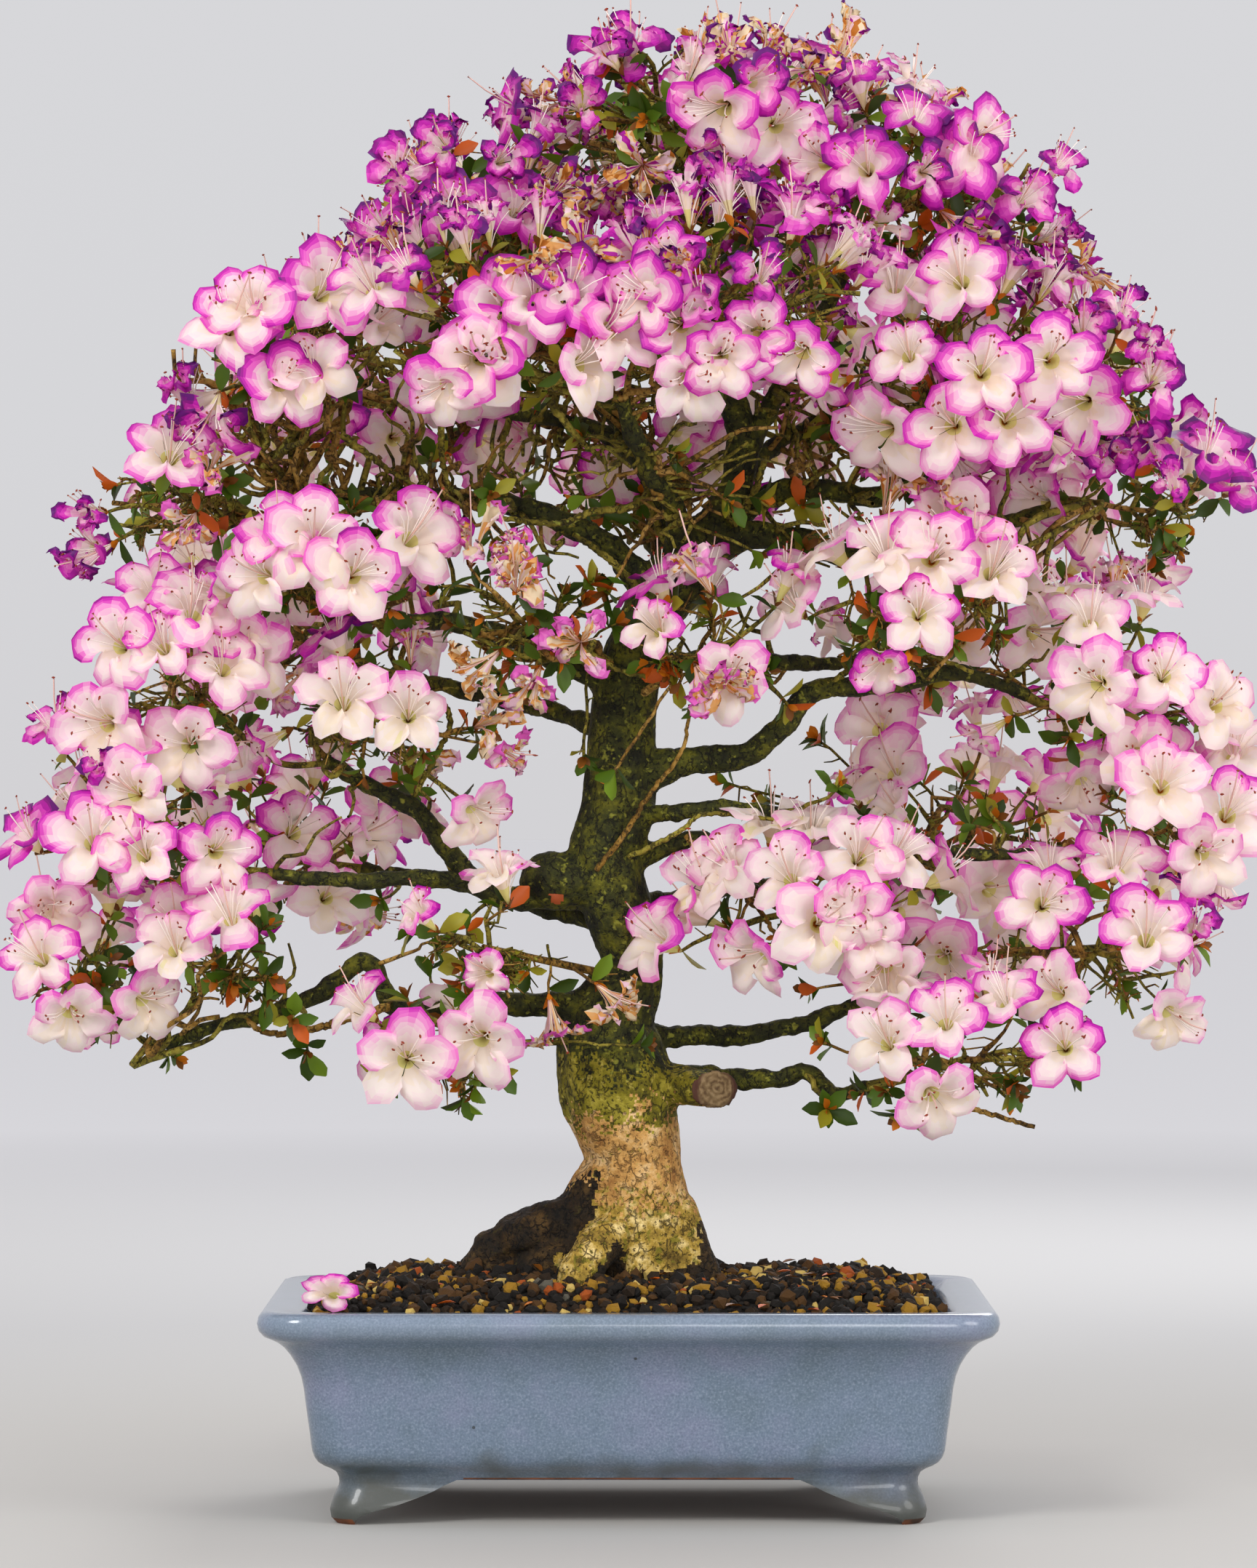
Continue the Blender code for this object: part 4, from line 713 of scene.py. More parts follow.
def bark_finish(name, colours, lichen, share, cracks=0.8):
    """Bark of three colours in patches, with spots of lichen, and broken cracks and pits painted dark: partly
    darker bark, partly painted shade.
    """
    finish, tree, shader = new_finish(name, Roughness=0.85, IOR=1.45)
    place = add(tree, "TexCoord").outputs["Object"]
    patches = add(tree, "TexNoise", {"Vector": place, "Scale": 1 / MOSS_PATCH, "Detail": 6.0,
                                     "Roughness": 0.68})
    body = ramp(tree, patches, tuple(zip((0.34, 0.5, 0.66), colours)))
    wander = add(tree, "TexNoise", {"Vector": place, "Scale": 1 / PLATE, "Detail": 4.0}).outputs["Color"]
    bent = add(tree, "VectorMath", {0: wander, 1: (1.4 * PLATE,) * 3}, operation="MULTIPLY")
    moved = add(tree, "VectorMath", {0: place, 1: bent}, operation="ADD")
    grain = add(tree, "Mapping", {"Vector": moved, "Scale": (1.0, 1.0, 0.6)})
    plates = add(tree, "TexVoronoi", {"Vector": grain, "Scale": 1 / PLATE}, feature="DISTANCE_TO_EDGE")
    line = add(tree, "MapRange", {"Value": plates, "From Max": 0.09, "To Min": 1.0, "To Max": 0.0})
    where = add(tree, "TexNoise", {"Vector": place, "Scale": 1 / (1.3 * PLATE), "Detail": 1.0})
    broken = add(tree, "MapRange", {"Value": where, "From Min": 0.48, "From Max": 0.56})
    crack = add(tree, "Math", {0: line, 1: broken}, operation="MULTIPLY")
    flakes = add(tree, "TexNoise", {"Vector": place, "Scale": 1 / PIT, "Detail": 3.0, "Roughness": 0.6})
    pit = add(tree, "MapRange", {"Value": flakes, "From Min": 0.42, "From Max": 0.32})
    dark = add(tree, "Math", {0: crack, 1: pit}, operation="MAXIMUM")
    # cracks and pits, which the bump also sinks, are painted dark: partly the bark's darker inside, partly
    # painted shade
    crack_and_shade_share = add(tree, "Math", {0: dark, 1: cracks}, operation="MULTIPLY")
    crack_and_shade_colour = tuple(part * 0.3 for part in linear(colours[0])[:3]) + (1.0,)
    cracked = add(tree, "MixRGB", {"Fac": crack_and_shade_share, "Color1": body, "Color2": crack_and_shade_colour})
    spots = add(tree, "TexNoise", {"Vector": place, "Scale": 1 / LICHEN_SPOT, "Detail": 2.0})
    spot = add(tree, "MapRange", {"Value": spots, "From Min": 1 - share, "From Max": 1.08 - share,
                                  "To Max": 0.75})
    spotted = add(tree, "MixRGB", {"Fac": spot, "Color1": cracked, "Color2": linear(lichen)})
    plug(tree, shader, {"Base Color": spotted})
    roughen(tree, shader, add(tree, "Math", {0: flakes, 1: dark}, operation="SUBTRACT"), BUMP_DEPTH)
    return finish


mossy_bark = bark_finish("mossy_azalea_bark", ("#151700", "#343604", "#66640c"), "#8c8c2e", 0.38)
sunny_moss = bark_finish("yellow_mossed_bark", ("#464004", "#7e7410", "#aa9c34"), "#c0b04e", 0.38)
tan_bark = bark_finish("bare_azalea_bark", ("#9a6830", "#d2a058", "#f0cc92"), "#aa9a38", 0.38, 0.5)
root_bark = bark_finish("bleached_root_bark", ("#5a4610", "#b09038", "#f6dc96"), "#767016", 0.44)
damp_and_shade_bark = bark_finish("damp_root_bark_and_painted_shade", ("#0a0600", "#2c1e08", "#5a421c"), "#40360c", 0.36)
sawn_wood, tree, shader = new_finish("weathered_sawn_wood", Roughness=0.8)
centred = add(tree, "VectorMath", {0: add(tree, "TexCoord").outputs["Object"], 1: tuple(-paths["stub"][-1])},
              operation="ADD")
rings = add(tree, "TexWave", {"Vector": centred, "Scale": 75.0, "Distortion": 14.0, "Detail": 4.0},
            wave_type="RINGS", rings_direction="SPHERICAL")
weathering = add(tree, "TexNoise", {"Vector": centred, "Scale": 1 / (4 * MM), "Detail": 5.0})
uneven = add(tree, "Math", {0: rings.outputs["Fac"], 1: 0.25, 2: weathering}, operation="MULTIPLY_ADD")
grey = ramp(tree, uneven, ((0.4, "#5a4226"), (0.6, "#7c6440"), (0.8, "#98805a")))
from_heart = add(tree, "VectorMath", {0: centred}, operation="LENGTH").outputs["Value"]
rim = add(tree, "MapRange", {"Value": from_heart, "From Min": 0.0115, "From Max": 0.0145})
rimmed = add(tree, "MixRGB", {"Fac": rim, "Color1": grey, "Color2": linear("#4c2a1a")})
plug(tree, shader, {"Base Color": rimmed})
fresh_cut = new_finish("fresh_orange_cut", Base_Color=linear("#b4562a"), Roughness=0.6)[0]
BARKS = (mossy_bark, sunny_moss, tan_bark, root_bark, sawn_wood, fresh_cut, damp_and_shade_bark)

# %% [markdown]
# ## The trunk's relief
#
# The trunk, its roots, the knot, the sawn stub and the collars where boughs leave it are wrapped in
# one skin of two-millimetre cells, then pushed out and in along the skin's own normals: flutes that
# run up the trunk, smaller knobs, and cracks. Each is about as deep as on old azalea bark, and a
# lumpy crust is added where a dark root stands out on the left. Then each face takes the finish of
# the zone that it lies in, with frayed borders between the zones.
# %% Wrap and carve the trunk
SKIN_CELL = 1.95 * MM
FLUTE, KNOB, CRACK = 2.6 * MM, 1.8 * MM, 1.3 * MM
TRUNK_SIDES, COLLAR_SIDES = 32, 20
FOOT_END, TAN_END, YELLOW_END = 0.192, 0.242, 0.276
DARK_SIDES_END, DARK_RIGHT_LOW_END = 0.200, 0.150  # how high the bark is darker at the sides, and all round on the right
DARK_LEFT, DARK_RIGHT, DARK_BACK = -0.022, 0.044, -0.036  # where the dark roots begin
HOLLOW_PLACE, HOLLOW_SIZE = (-0.0135, 0.148), (0.0125, 0.013)  # a shaded hollow between two roots
TOE_REACH = 17 * MM  # the front root stays pale this far around
HEAP_LUMP = 4.5 * MM  # how rough the dark root on the left is
COLLAR = 18 * MM
CUT_PLACE, CUT_SIZE = np.array((-0.0446, -0.024, 0.3774)) + SHIFT, 5.5 * MM
STUB_WIDER, STUB_LOWER = 0.22, 0.18  # the saw cut is slanted, so its face is oval


def rounded(path, radii, blunt=0.6):
    """Closes a tube's ends: two more stations bring each to a point."""
    back, ahead = unit(path[0] - path[1]), unit(path[-1] - path[-2])
    tips = [end + way * radius * part for end, way, radius, part in
            ((path[0], back, radii[0], blunt), (path[0], back, radii[0], blunt * 0.6),
             (path[-1], ahead, radii[-1], blunt * 0.6), (path[-1], ahead, radii[-1], blunt))]
    tight = 1 - blunt * 0.4
    return (np.vstack((tips[0], tips[1], path, tips[2], tips[3])),
            np.concatenate(([1e-5, radii[0] * tight], radii, [radii[-1] * tight, 1e-5])))


skin_parts = []
for name in ("trunk", *[f"root_{k}" for k in range(len(ROOTS))]):
    skin_parts.append(tube(*rounded(paths[name], widths[name]), TRUNK_SIDES))
stub_way = unit(paths["stub"][-1] - paths["stub"][-3])
stub_path, stub_radii = rounded(paths["stub"], widths["stub"], 0.02)
round_points, stub_faces = tube(stub_path, stub_radii, TRUNK_SIDES)
stub_axis = np.repeat(stub_path, TRUNK_SIDES, axis=0)
from_axis = round_points - stub_axis
level_way = unit(np.cross((0, 0, 1), stub_way))
from_axis += np.outer(from_axis @ level_way, level_way) * STUB_WIDER - from_axis * (0, 0, STUB_LOWER)
skin_parts.append((stub_axis + from_axis, stub_faces))
trunk_heights, trunk_radii = np.array([(row[0], row[3]) for row in TRUNK]).T
for name, (carrier, height, *_) in BOUGHS.items():
    if carrier == "trunk":
        reach = int((COLLAR + np.interp(height, trunk_heights, trunk_radii)) / PATH_STEP)
        swollen = widths[name][:reach] * np.linspace(1.5, 1.0, reach)
        skin_parts.append(tube(*rounded(paths[name][:reach], swollen), COLLAR_SIDES))
ball = bmesh.new()
bmesh.ops.create_icosphere(ball, subdivisions=4, radius=1.0)
knot = np.array([vert.co for vert in ball.verts]) * KNOT_RADII + KNOT_CENTRE + SHIFT
knot_faces = np.array([[vert.index for vert in face.verts] for face in ball.faces])
ball.free()
starts = np.cumsum([0] + [len(points) for points, _ in skin_parts])
skin_faces = [face for (_, faces), start in zip(skin_parts, starts) for face in (faces + start).tolist()]
skin_faces += (knot_faces + starts[-1]).tolist()
trunk = solid_object("trunk_and_roots", np.vstack([points for points, _ in skin_parts] + [knot]), skin_faces)
wrap = trunk.modifiers.new("wrap", "REMESH")
wrap.mode = "VOXEL"
wrap.voxel_size = SKIN_CELL
melt = trunk.modifiers.new("melt", "SMOOTH")
melt.factor = 0.5
melt.iterations = 4
apply_modifiers(trunk)

skin = trunk.data


def read_vectors(items, field):
    values = np.empty(len(items) * 3)
    items.foreach_get(field, values)
    return values.reshape(-1, 3)


def by_the_saw(places, below, reach):
    """Which places lie on the stub's sawn face."""
    from_end = places - paths["stub"][-1]
    return (from_end @ stub_way > -below * MM) & (np.linalg.norm(from_end, axis=1) < reach * MM)


points = read_vectors(skin.vertices, "co")
normals = read_vectors(skin.vertex_normals, "vector")
carve = np.array([FLUTE * noise.noise((x * 42, y * 42, z * 10)) + KNOB * noise.noise((x * 105, y * 105, z * 45))
                  - CRACK * abs(noise.noise((x * 230, y * 230, z * 75))) for x, y, z in points])
carve[by_the_saw(points, 1.5, 22)] *= 0.15
rough = np.clip((-0.030 - points[:, 0]) / 0.02, 0, 1) * (points[:, 2] < 0.2)
carve += rough * HEAP_LUMP * np.array([noise.noise((x * 60, y * 60, z * 85)) for x, y, z in points])
points += normals * carve[:, None]
skin.vertices.foreach_set("co", points.ravel())
middles = read_vectors(skin.polygons, "center")
speckle = np.random.default_rng(9).normal(0, 5 * MM, len(middles))
edge_noise = np.array([16 * noise.noise((x * 60, y * 60, z * 60)) + 9 * noise.noise((x * 260, y * 260, z * 260))
                       for x, y, z in middles]) * MM
across, back, level = middles.T
frayed = level + edge_noise + speckle
mossy, yellow, bare, bleached, sawn, fresh, damp_and_shade = range(len(BARKS))
looks = np.select((frayed > YELLOW_END, frayed > TAN_END, frayed > FOOT_END), (mossy, yellow, bare), bleached)
low = level + edge_noise * 0.6 + speckle * 0.5 < DARK_SIDES_END
# the damp, dark root on the left
looks[low & (across + edge_noise * 0.5 < DARK_LEFT) & (back > DARK_BACK)] = damp_and_shade
# low on the right the bark is darker, at the side and all round its right half
looks[low & (across - edge_noise * 0.5 > DARK_RIGHT)] = damp_and_shade
looks[(level + edge_noise * 0.4 < DARK_RIGHT_LOW_END) & (across > 0)] = damp_and_shade
from_toe = np.linalg.norm(middles[:, None, :] - paths["root_1"][None, 12::4, :], axis=2).min(axis=1)
looks[from_toe < TOE_REACH] = bleached
from_hollow = np.hypot((across - HOLLOW_PLACE[0]) / HOLLOW_SIZE[0], (level - HOLLOW_PLACE[1]) / HOLLOW_SIZE[1])
# the hollow between two roots is painted dark, as painted shade
looks[(from_hollow + edge_noise / (20 * MM) < 1) & (back < -0.02)] = damp_and_shade
looks[by_the_saw(middles, 1.2, 18)] = sawn
looks[np.linalg.norm(middles - CUT_PLACE, axis=1) + edge_noise * 0.3 < CUT_SIZE] = fresh
for finish in BARKS:
    skin.materials.append(finish)
skin.polygons.foreach_set("material_index", looks.astype(np.int32))
skin.shade_smooth()
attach(trunk, "root")
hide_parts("trunk")
print("trunk", len(skin.polygons), "faces")

# %% [markdown]
# ## The boughs' relief
#
# A bough is a tapering tube with knuckles where old twigs were cut, and flutes that follow it. Its
# foot is sunk in the trunk's collar. The tube's own rings carry the relief, which is finer than the
# trunk's because the limb is thinner.
# %% Carve the boughs
BOUGH_SIDES = 12
KNUCKLE, SWAY = 0.22, 3.2 * MM
ENDS = 0.02  # a bough sways less within this distance of its ends
bough_parts = []
for number, name in enumerate(BOUGHS):
    path, radii = paths[name], widths[name].copy()
    along = np.arange(len(path)) * PATH_STEP
    radii *= 1 + KNUCKLE * np.array([noise.noise((s * 55, number * 7.0, 0.0)) for s in along])
    drift = np.array([[noise.noise((s * 30, number * 5.0, axis * 9.0)) for axis in range(3)] for s in along])
    fade = np.minimum(1, along / ENDS)[:, None] * np.minimum(1, (along[-1] - along) / ENDS)[:, None]
    points, faces = tube(path + drift * fade * SWAY, radii, BOUGH_SIDES)
    carve = np.array([1.5 * noise.noise((x * 120, y * 120, z * 120))
                      - abs(noise.noise((x * 330, y * 330, z * 330))) for x, y, z in points]) * MM
    outward = (points - np.repeat(path, BOUGH_SIDES, axis=0)) / np.repeat(radii, BOUGH_SIDES)[:, None]
    points += outward * carve[:, None]
    bough_parts.append((points, faces, 0))
boughs = new_piece("boughs", bough_parts, (mossy_bark,))
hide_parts(*BOUGHS)

# %% [markdown]
# ## The masses' spaces
#
# Each mass of foliage has a middle, a reach along each axis, and its own side of every neighbour.
# A tip of a twig belongs to one mass and keeps to its space. Where the photograph shows a blossom or
# a tuft of leaves, a line of sight finds the place on a mass for its tip. All the other tips are
# dealt out at random, evenly spaced. New shoots grow outward and up, so that a mass is a cushion,
# closed above and thin below, and bare towards the trunk.
# %% Where the tips may be
# what carries it, its centre, how far it reaches
MASSES = {
    "mass_apex": ("bough_leader", (0.040, -0.005, 0.872), (0.115, 0.100, 0.064)),
    "mass_crown_back": ("bough_leader", (0.030, 0.140, 0.800), (0.130, 0.090, 0.075)),
    "mass_crown_left": ("bough_crown_left", (-0.100, -0.010, 0.815), (0.088, 0.095, 0.062)),
    "mass_crown_right": ("bough_crown_right", (0.175, -0.005, 0.825), (0.105, 0.100, 0.062)),
    "mass_front_left": ("bough_front", (-0.078, -0.138, 0.732), (0.084, 0.085, 0.058)),
    "mass_front_right": ("bough_front", (0.068, -0.142, 0.742), (0.084, 0.085, 0.058)),
    "mass_upper_left": ("bough_upper_left", (-0.212, -0.045, 0.722), (0.078, 0.100, 0.060)),
    "mass_left_tip": ("bough_upper_left", (-0.285, 0.000, 0.635), (0.062, 0.085, 0.050)),
    "mass_upper_right": ("bough_right_high", (0.205, -0.060, 0.705), (0.080, 0.095, 0.062)),
    "mass_upper_right_far": ("bough_right_high", (0.295, 0.010, 0.700), (0.062, 0.100, 0.060)),
    "mass_right_tip": ("bough_right_arm", (0.330, 0.010, 0.622), (0.060, 0.085, 0.048)),
    "mass_mid_right": ("bough_right_arm", (0.178, -0.065, 0.560), (0.068, 0.070, 0.048)),
    "mass_upper_back_left": ("bough_back_high_left", (-0.165, 0.140, 0.710), (0.095, 0.090, 0.070)),
    "mass_upper_back_right": ("bough_back_high_right", (0.205, 0.140, 0.705), (0.095, 0.090, 0.070)),
    "mass_upper_back": ("bough_back_centre", (0.015, 0.150, 0.670), (0.100, 0.080, 0.062)),
    "mass_mid_left": ("bough_mid_left", (-0.188, -0.060, 0.585), (0.072, 0.075, 0.046)),
    "mass_mid_left_back": ("bough_back_mid_left", (-0.215, 0.140, 0.545), (0.090, 0.090, 0.062)),
    "mass_mid_left_outer": ("bough_knot_left", (-0.282, -0.020, 0.515), (0.068, 0.090, 0.056)),
    "mass_mid_left_inner": ("bough_knot_left", (-0.158, -0.044, 0.492), (0.056, 0.058, 0.046)),
    "mass_low_left": ("bough_knot_low", (-0.298, -0.025, 0.420), (0.082, 0.090, 0.052)),
    "mass_low_left_outer": ("bough_low_left", (-0.336, 0.005, 0.330), (0.055, 0.085, 0.048)),
    "mass_low_left_inner": ("bough_low_left", (-0.245, -0.050, 0.340), (0.050, 0.060, 0.040)),
    "mass_low_left_back": ("bough_back_low_left", (-0.235, 0.140, 0.405), (0.090, 0.090, 0.062)),
    "mass_small_left": ("trunk", (-0.112, -0.062, 0.288), (0.064, 0.056, 0.044)),
    "mass_sprig_left": ("trunk", (-0.090, -0.058, 0.350), (0.064, 0.052, 0.042)),
    "mass_inner_left": ("trunk", (-0.062, -0.065, 0.558), (0.058, 0.052, 0.044)),
    "mass_inner_right": ("trunk", (0.052, -0.066, 0.535), (0.052, 0.050, 0.044)),
    "mass_mid_right_outer": ("bough_mid_right", (0.305, -0.005, 0.510), (0.085, 0.095, 0.058)),
    "mass_right_thin": ("bough_right_thin", (0.332, -0.022, 0.432), (0.060, 0.074, 0.042)),
    "mass_low_right": ("bough_elbow_right", (0.130, -0.035, 0.372), (0.074, 0.080, 0.048)),
    "mass_low_right_outer": ("bough_low_right_long", (0.285, -0.010, 0.348), (0.095, 0.090, 0.056)),
    "mass_low_right_front": ("bough_low_right", (0.208, -0.078, 0.282), (0.086, 0.076, 0.042)),
    "mass_low_right_back": ("bough_back_low_right", (0.215, 0.140, 0.410), (0.090, 0.090, 0.062)),
    "mass_mid_right_back": ("bough_back_mid_right", (0.230, 0.140, 0.555), (0.090, 0.090, 0.062)),
}
TRUNK_STEMS = {
    "mass_small_left": 0.292, "mass_sprig_left": 0.330, "mass_inner_left": 0.520, "mass_inner_right": 0.500,
}
# where the photograph shows blossoms: millimetres sideways and up, on the upright plane through
# the trunk
SEEN = {
    "edged": (
        (90, 864), (127, 839), (210, 760), (166, 748), (262, 716), (289, 692), (220, 706), (205, 675),
        (235, 677), (242, 652), (269, 628), (195, 628), (225, 628), (249, 616), (-89, 719), (-60, 751),
        (-80, 746), (-1, 778), (21, 756), (-8, 753), (4, 716), (33, 775), (33, 741), (58, 721), (85, 736),
        (112, 726), (-222, 702), (-232, 743), (-251, 731), (-197, 753), (-156, 751), (-288, 648),
        (-217, 598), (-197, 601), (-174, 581), (-143, 598), (-232, 554), (-296, 562), (-288, 530),
        (-313, 535), (-256, 517), (-276, 547), (-251, 540), (-320, 456), (-335, 409), (-300, 402),
        (-261, 409), (-246, 355), (-364, 336), (-158, 427), (190, 589), (181, 554), (333, 515),
        (328, 466), (382, 427), (33, 346), (259, 373), (303, 387), (323, 346), (240, 304), (274, 284),
        (200, 294),
    ),
    "pale": (
        (63, 878), (208, 854), (168, 675), (200, 606), (-126, 697), (-21, 731), (-40, 711), (-197, 706),
        (-222, 581), (-237, 532), (-320, 490), (-273, 476), (-178, 495), (-305, 444), (-367, 378),
        (-364, 360), (-283, 358), (-281, 341), (-350, 314), (-310, 319), (-192, 378), (-104, 441),
        (-271, 584), (163, 584), (225, 576), (247, 549), (289, 542), (298, 515), (362, 498), (161, 481),
        (281, 461), (313, 471), (357, 466), (382, 459), (333, 446), (171, 451), (356, 410), (90, 407),
        (114, 412), (73, 390), (117, 363), (161, 397), (161, 343), (200, 346), (220, 387), (333, 314),
        (274, 319), (166, 284), (186, 262), (-138, 279), (-89, 294), (63, 515), (112, 554), (-138, 490),
        (35, 712), (-96, 722), (-110, 706), (62, 700), (105, 386), (142, 400), (56, 378), (94, 350),
        (138, 374), (150, 358),
    ),
    "dark": (
        (1, 915), (-3, 895), (-55, 868), (-30, 871), (-111, 846), (-146, 829), (-129, 817), (-104, 807),
        (-84, 839), (-114, 787), (-141, 787), (-173, 778), (-165, 758), (-99, 778), (-75, 802),
        (151, 832), (183, 834), (178, 856), (215, 837), (240, 810), (259, 827), (225, 780), (254, 790),
        (279, 746), (284, 726), (306, 733), (316, 714), (325, 699), (294, 667), (313, 645), (343, 628),
        (357, 643), (372, 630), (333, 650), (51, 748), (-286, 662), (-271, 675), (-327, 621), (-320, 603),
        (-330, 598), (-372, 407), (-330, 446), (-354, 471), (345, 365), (352, 353), (-256, 697),
        (-40, 753), (38, 849),
    ),
    "half_open": (
        (114, 697), (141, 706), (-242, 567), (-210, 486), (222, 476), (240, 493), (156, 456), (146, 434),
        (72, 890), (24, 540), (92, 562), (63, 360), (166, 537), (215, 586), (-148, 422), (-153, 414),
        (149, 871), (-114, 613), (372, 407), (-119, 358), (-82, 333),
    ),
    "spent": (
        (9, 839), (24, 824), (-6, 834), (-16, 827), (-1, 813), (-50, 819), (-30, 780), (-60, 780),
        (73, 814), (85, 810), (107, 819), (132, 824), (195, 810), (210, 802), (127, 905), (114, 898),
        (65, 910), (269, 775), (284, 780), (43, 780), (178, 618), (159, 616), (-264, 645), (-271, 621),
        (-99, 586), (-65, 589), (-70, 571), (-50, 319), (-21, 326), (-97, 486), (-87, 476), (53, 569),
        (41, 527), (51, 525), (-80, 535), (-55, 525), (-30, 540),
    ),
}
# shoots of leaves alone, the same way
SEEN_LEAFY = (
    (-28, 468), (-11, 456), (43, 498), (119, 478), (85, 441), (9, 287), (144, 257), (122, 289),
    (-212, 427), (176, 535), (-89, 483), (-119, 574), (-237, 598), (-283, 279), (171, 243), (298, 579),
    (230, 429), (12, 868), (-8, 905), (152, 885), (-252, 640), (-190, 640), (60, 452), (-152, 268),
    (100, 500), (-60, 508),
)
# the crown's own outline in the photograph: height, left, right, in the same millimetres
OUTLINE = np.array((
    (230, -150, 200), (255, -153, 308), (304, -379, 362), (353, -394, 372), (402, -389, 395), (451, -364, 395),
    (500, -345, 362), (549, -305, 318), (598, -340, 367), (648, -305, 382), (697, -276, 338), (746, -261, 318),
    (795, -183, 289), (844, -153, 230), (893, -40, 200), (930, -10, 140),
)) * MM
# left open there: left, right, lower, upper
WINDOWS = np.array((
    (-80, 14, 300, 452), (14, 122, 424, 488), (14, 60, 296, 402), (-60, 90, 100, 300), (-345, -250, 546, 580),
)) * MM
# where it shows mostly twigs and leaves in front
THIN_PARTS = np.array((
    (-256, 146, 603, 690), (-227, -80, 323, 471), (38, 146, 451, 549), (140, 380, 392, 431),
    (-110, 20, 470, 600), (-170, -40, 250, 330),
)) * MM
THIN_SHARE = 0.8  # of the shoots there that bear leaves alone
TIP_SPACING, CROWN_SPACING = 36 * MM, 26 * MM
# shares of its reach that a tip is tried at, so that it keeps to the outline
DRAWN_IN = (1.0, 0.88, 0.76, 0.64)
SHELL = (0.72, 0.88)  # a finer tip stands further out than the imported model's
SHADED = 26  # tries at twigs that end bare in each mass's shaded underside,
UNDER_CROWN = (0.65, 0.76)  # and twice as many in masses between these heights
LOWEST_FACING = -0.72
INWARD_FACING = 0.62
BEHIND = 0.1  # masses further back than this bear blossom towards the trunk too
TIP_LIFT, TIP_LOOSE = 0.25, 0.35
CROWN_LIFT, CROWN_LOOSE = 0.9, 0.6
THIN_DEPTH = 30 * MM  # the thin parts are thin in front of this
CROWN_FROM = 0.74  # above this height blossoms are older, darker and turned up
RICH_FROM = 0.64  # below this height their coloured edges are narrower
TIP_TRIES = 900
BARE = -2.0  # stands for a tip's height on its mass where it bears no blossom
# how much a seen blossom faces the viewer, outward and up, and how loosely
SEEN_FACING = {"edged": (1.0, 0.6, 0.4, 0.55), "pale": (0.9, 0.6, 0.2, 0.65), "dark": (0.5, 0.6, 0.4, 0.5),
               "half_open": (0.5, 0.7, 0.0, 0.6), "spent": (0.7, 0.5, -0.1, 0.6)}
EDGE_ROOM = 14 * MM
LIMB_ROOM = 12 * MM
NEIGHBOUR_ROOM = -5 * MM
PETAL_RADIUS = 30 * MM
PETAL_DEPTH = 26 * MM
STYLE_REACH = 50 * MM
LIMIT = np.array(CAD_BOX) + ((-6 * MM,) * 3, (6 * MM, 6 * MM, 1 * MM))
STYLE_OVER = 4 * MM

mass_names = list(MASSES)
CENTRES = np.array([row[1] for row in MASSES.values()]) + SHIFT
REACHES = np.array([row[2] for row in MASSES.values()])
SIZES = (REACHES ** 2).sum(axis=1) / 3
limb_points = np.vstack(list(paths.values()))
limb_radii = np.concatenate([widths[name] for name in paths])
limb_tree = KDTree(len(limb_points))
for k, point in enumerate(limb_points):
    limb_tree.insert(point, k)
limb_tree.balance()


def own_side(number, place):
    """How far a place lies on a mass's own side of its nearest neighbour."""
    power = ((place - CENTRES) ** 2).sum(axis=1) - SIZES
    apart = 2 * np.linalg.norm(CENTRES - CENTRES[number], axis=1)
    others = np.arange(len(CENTRES)) != number
    return ((power - power[number])[others] / apart[others]).min()


def clear_of_limbs(place, room):
    _, k, distance = limb_tree.find(place)
    return distance > limb_radii[k] + room


def seen_at(place):
    """Where the viewer sees a place on the upright plane through the trunk: sideways and up."""
    ray = place - CAMERA_PLACE
    return (CAMERA_PLACE + ray * (SHIFT[1] - CAMERA_PLACE[1]) / ray[1])[[0, 2]] - (SHIFT[0], 0)


def in_outline(place):
    """Whether a blossom here would keep within the outline that the photograph shows."""
    x, z = seen_at(place)
    left, right = np.interp(z, OUTLINE[:, 0], OUTLINE[:, 1]), np.interp(z, OUTLINE[:, 0], OUTLINE[:, 2])
    open_here = ((WINDOWS[:, 0] < x) & (x < WINDOWS[:, 1]) & (WINDOWS[:, 2] < z) & (z < WINDOWS[:, 3])).any()
    return left + EDGE_ROOM < x < right - EDGE_ROOM and z < OUTLINE[-1, 0] - EDGE_ROOM and not open_here


def in_thin_part(place):
    x, z = seen_at(place)
    inside = (THIN_PARTS[:, 0] < x) & (x < THIN_PARTS[:, 1]) & (THIN_PARTS[:, 2] < z) & (z < THIN_PARTS[:, 3])
    return inside.any() and place[1] < THIN_DEPTH


def front_place(x, z):
    """Where a line of sight first meets a mass, and which."""
    ray = unit(np.array((x, 0.0, z)) + SHIFT - CAMERA_PLACE)
    start, step = (CAMERA_PLACE - CENTRES) / (REACHES * SHELL[1]), ray / (REACHES * SHELL[1])
    square, half, rest = (step ** 2).sum(axis=1), (start * step).sum(axis=1), (start ** 2).sum(axis=1) - 1
    under_root = half ** 2 - square * rest
    meets = np.where(under_root > 0, -(half + np.sqrt(np.maximum(under_root, 0))) / square, np.inf)
    number = int(meets.argmin()) if (under_root > 0).any() else int((rest - half ** 2 / square).argmin())
    far = meets[number] if under_root[number] > 0 else -half[number] / square[number]
    return number, CAMERA_PLACE + ray * far


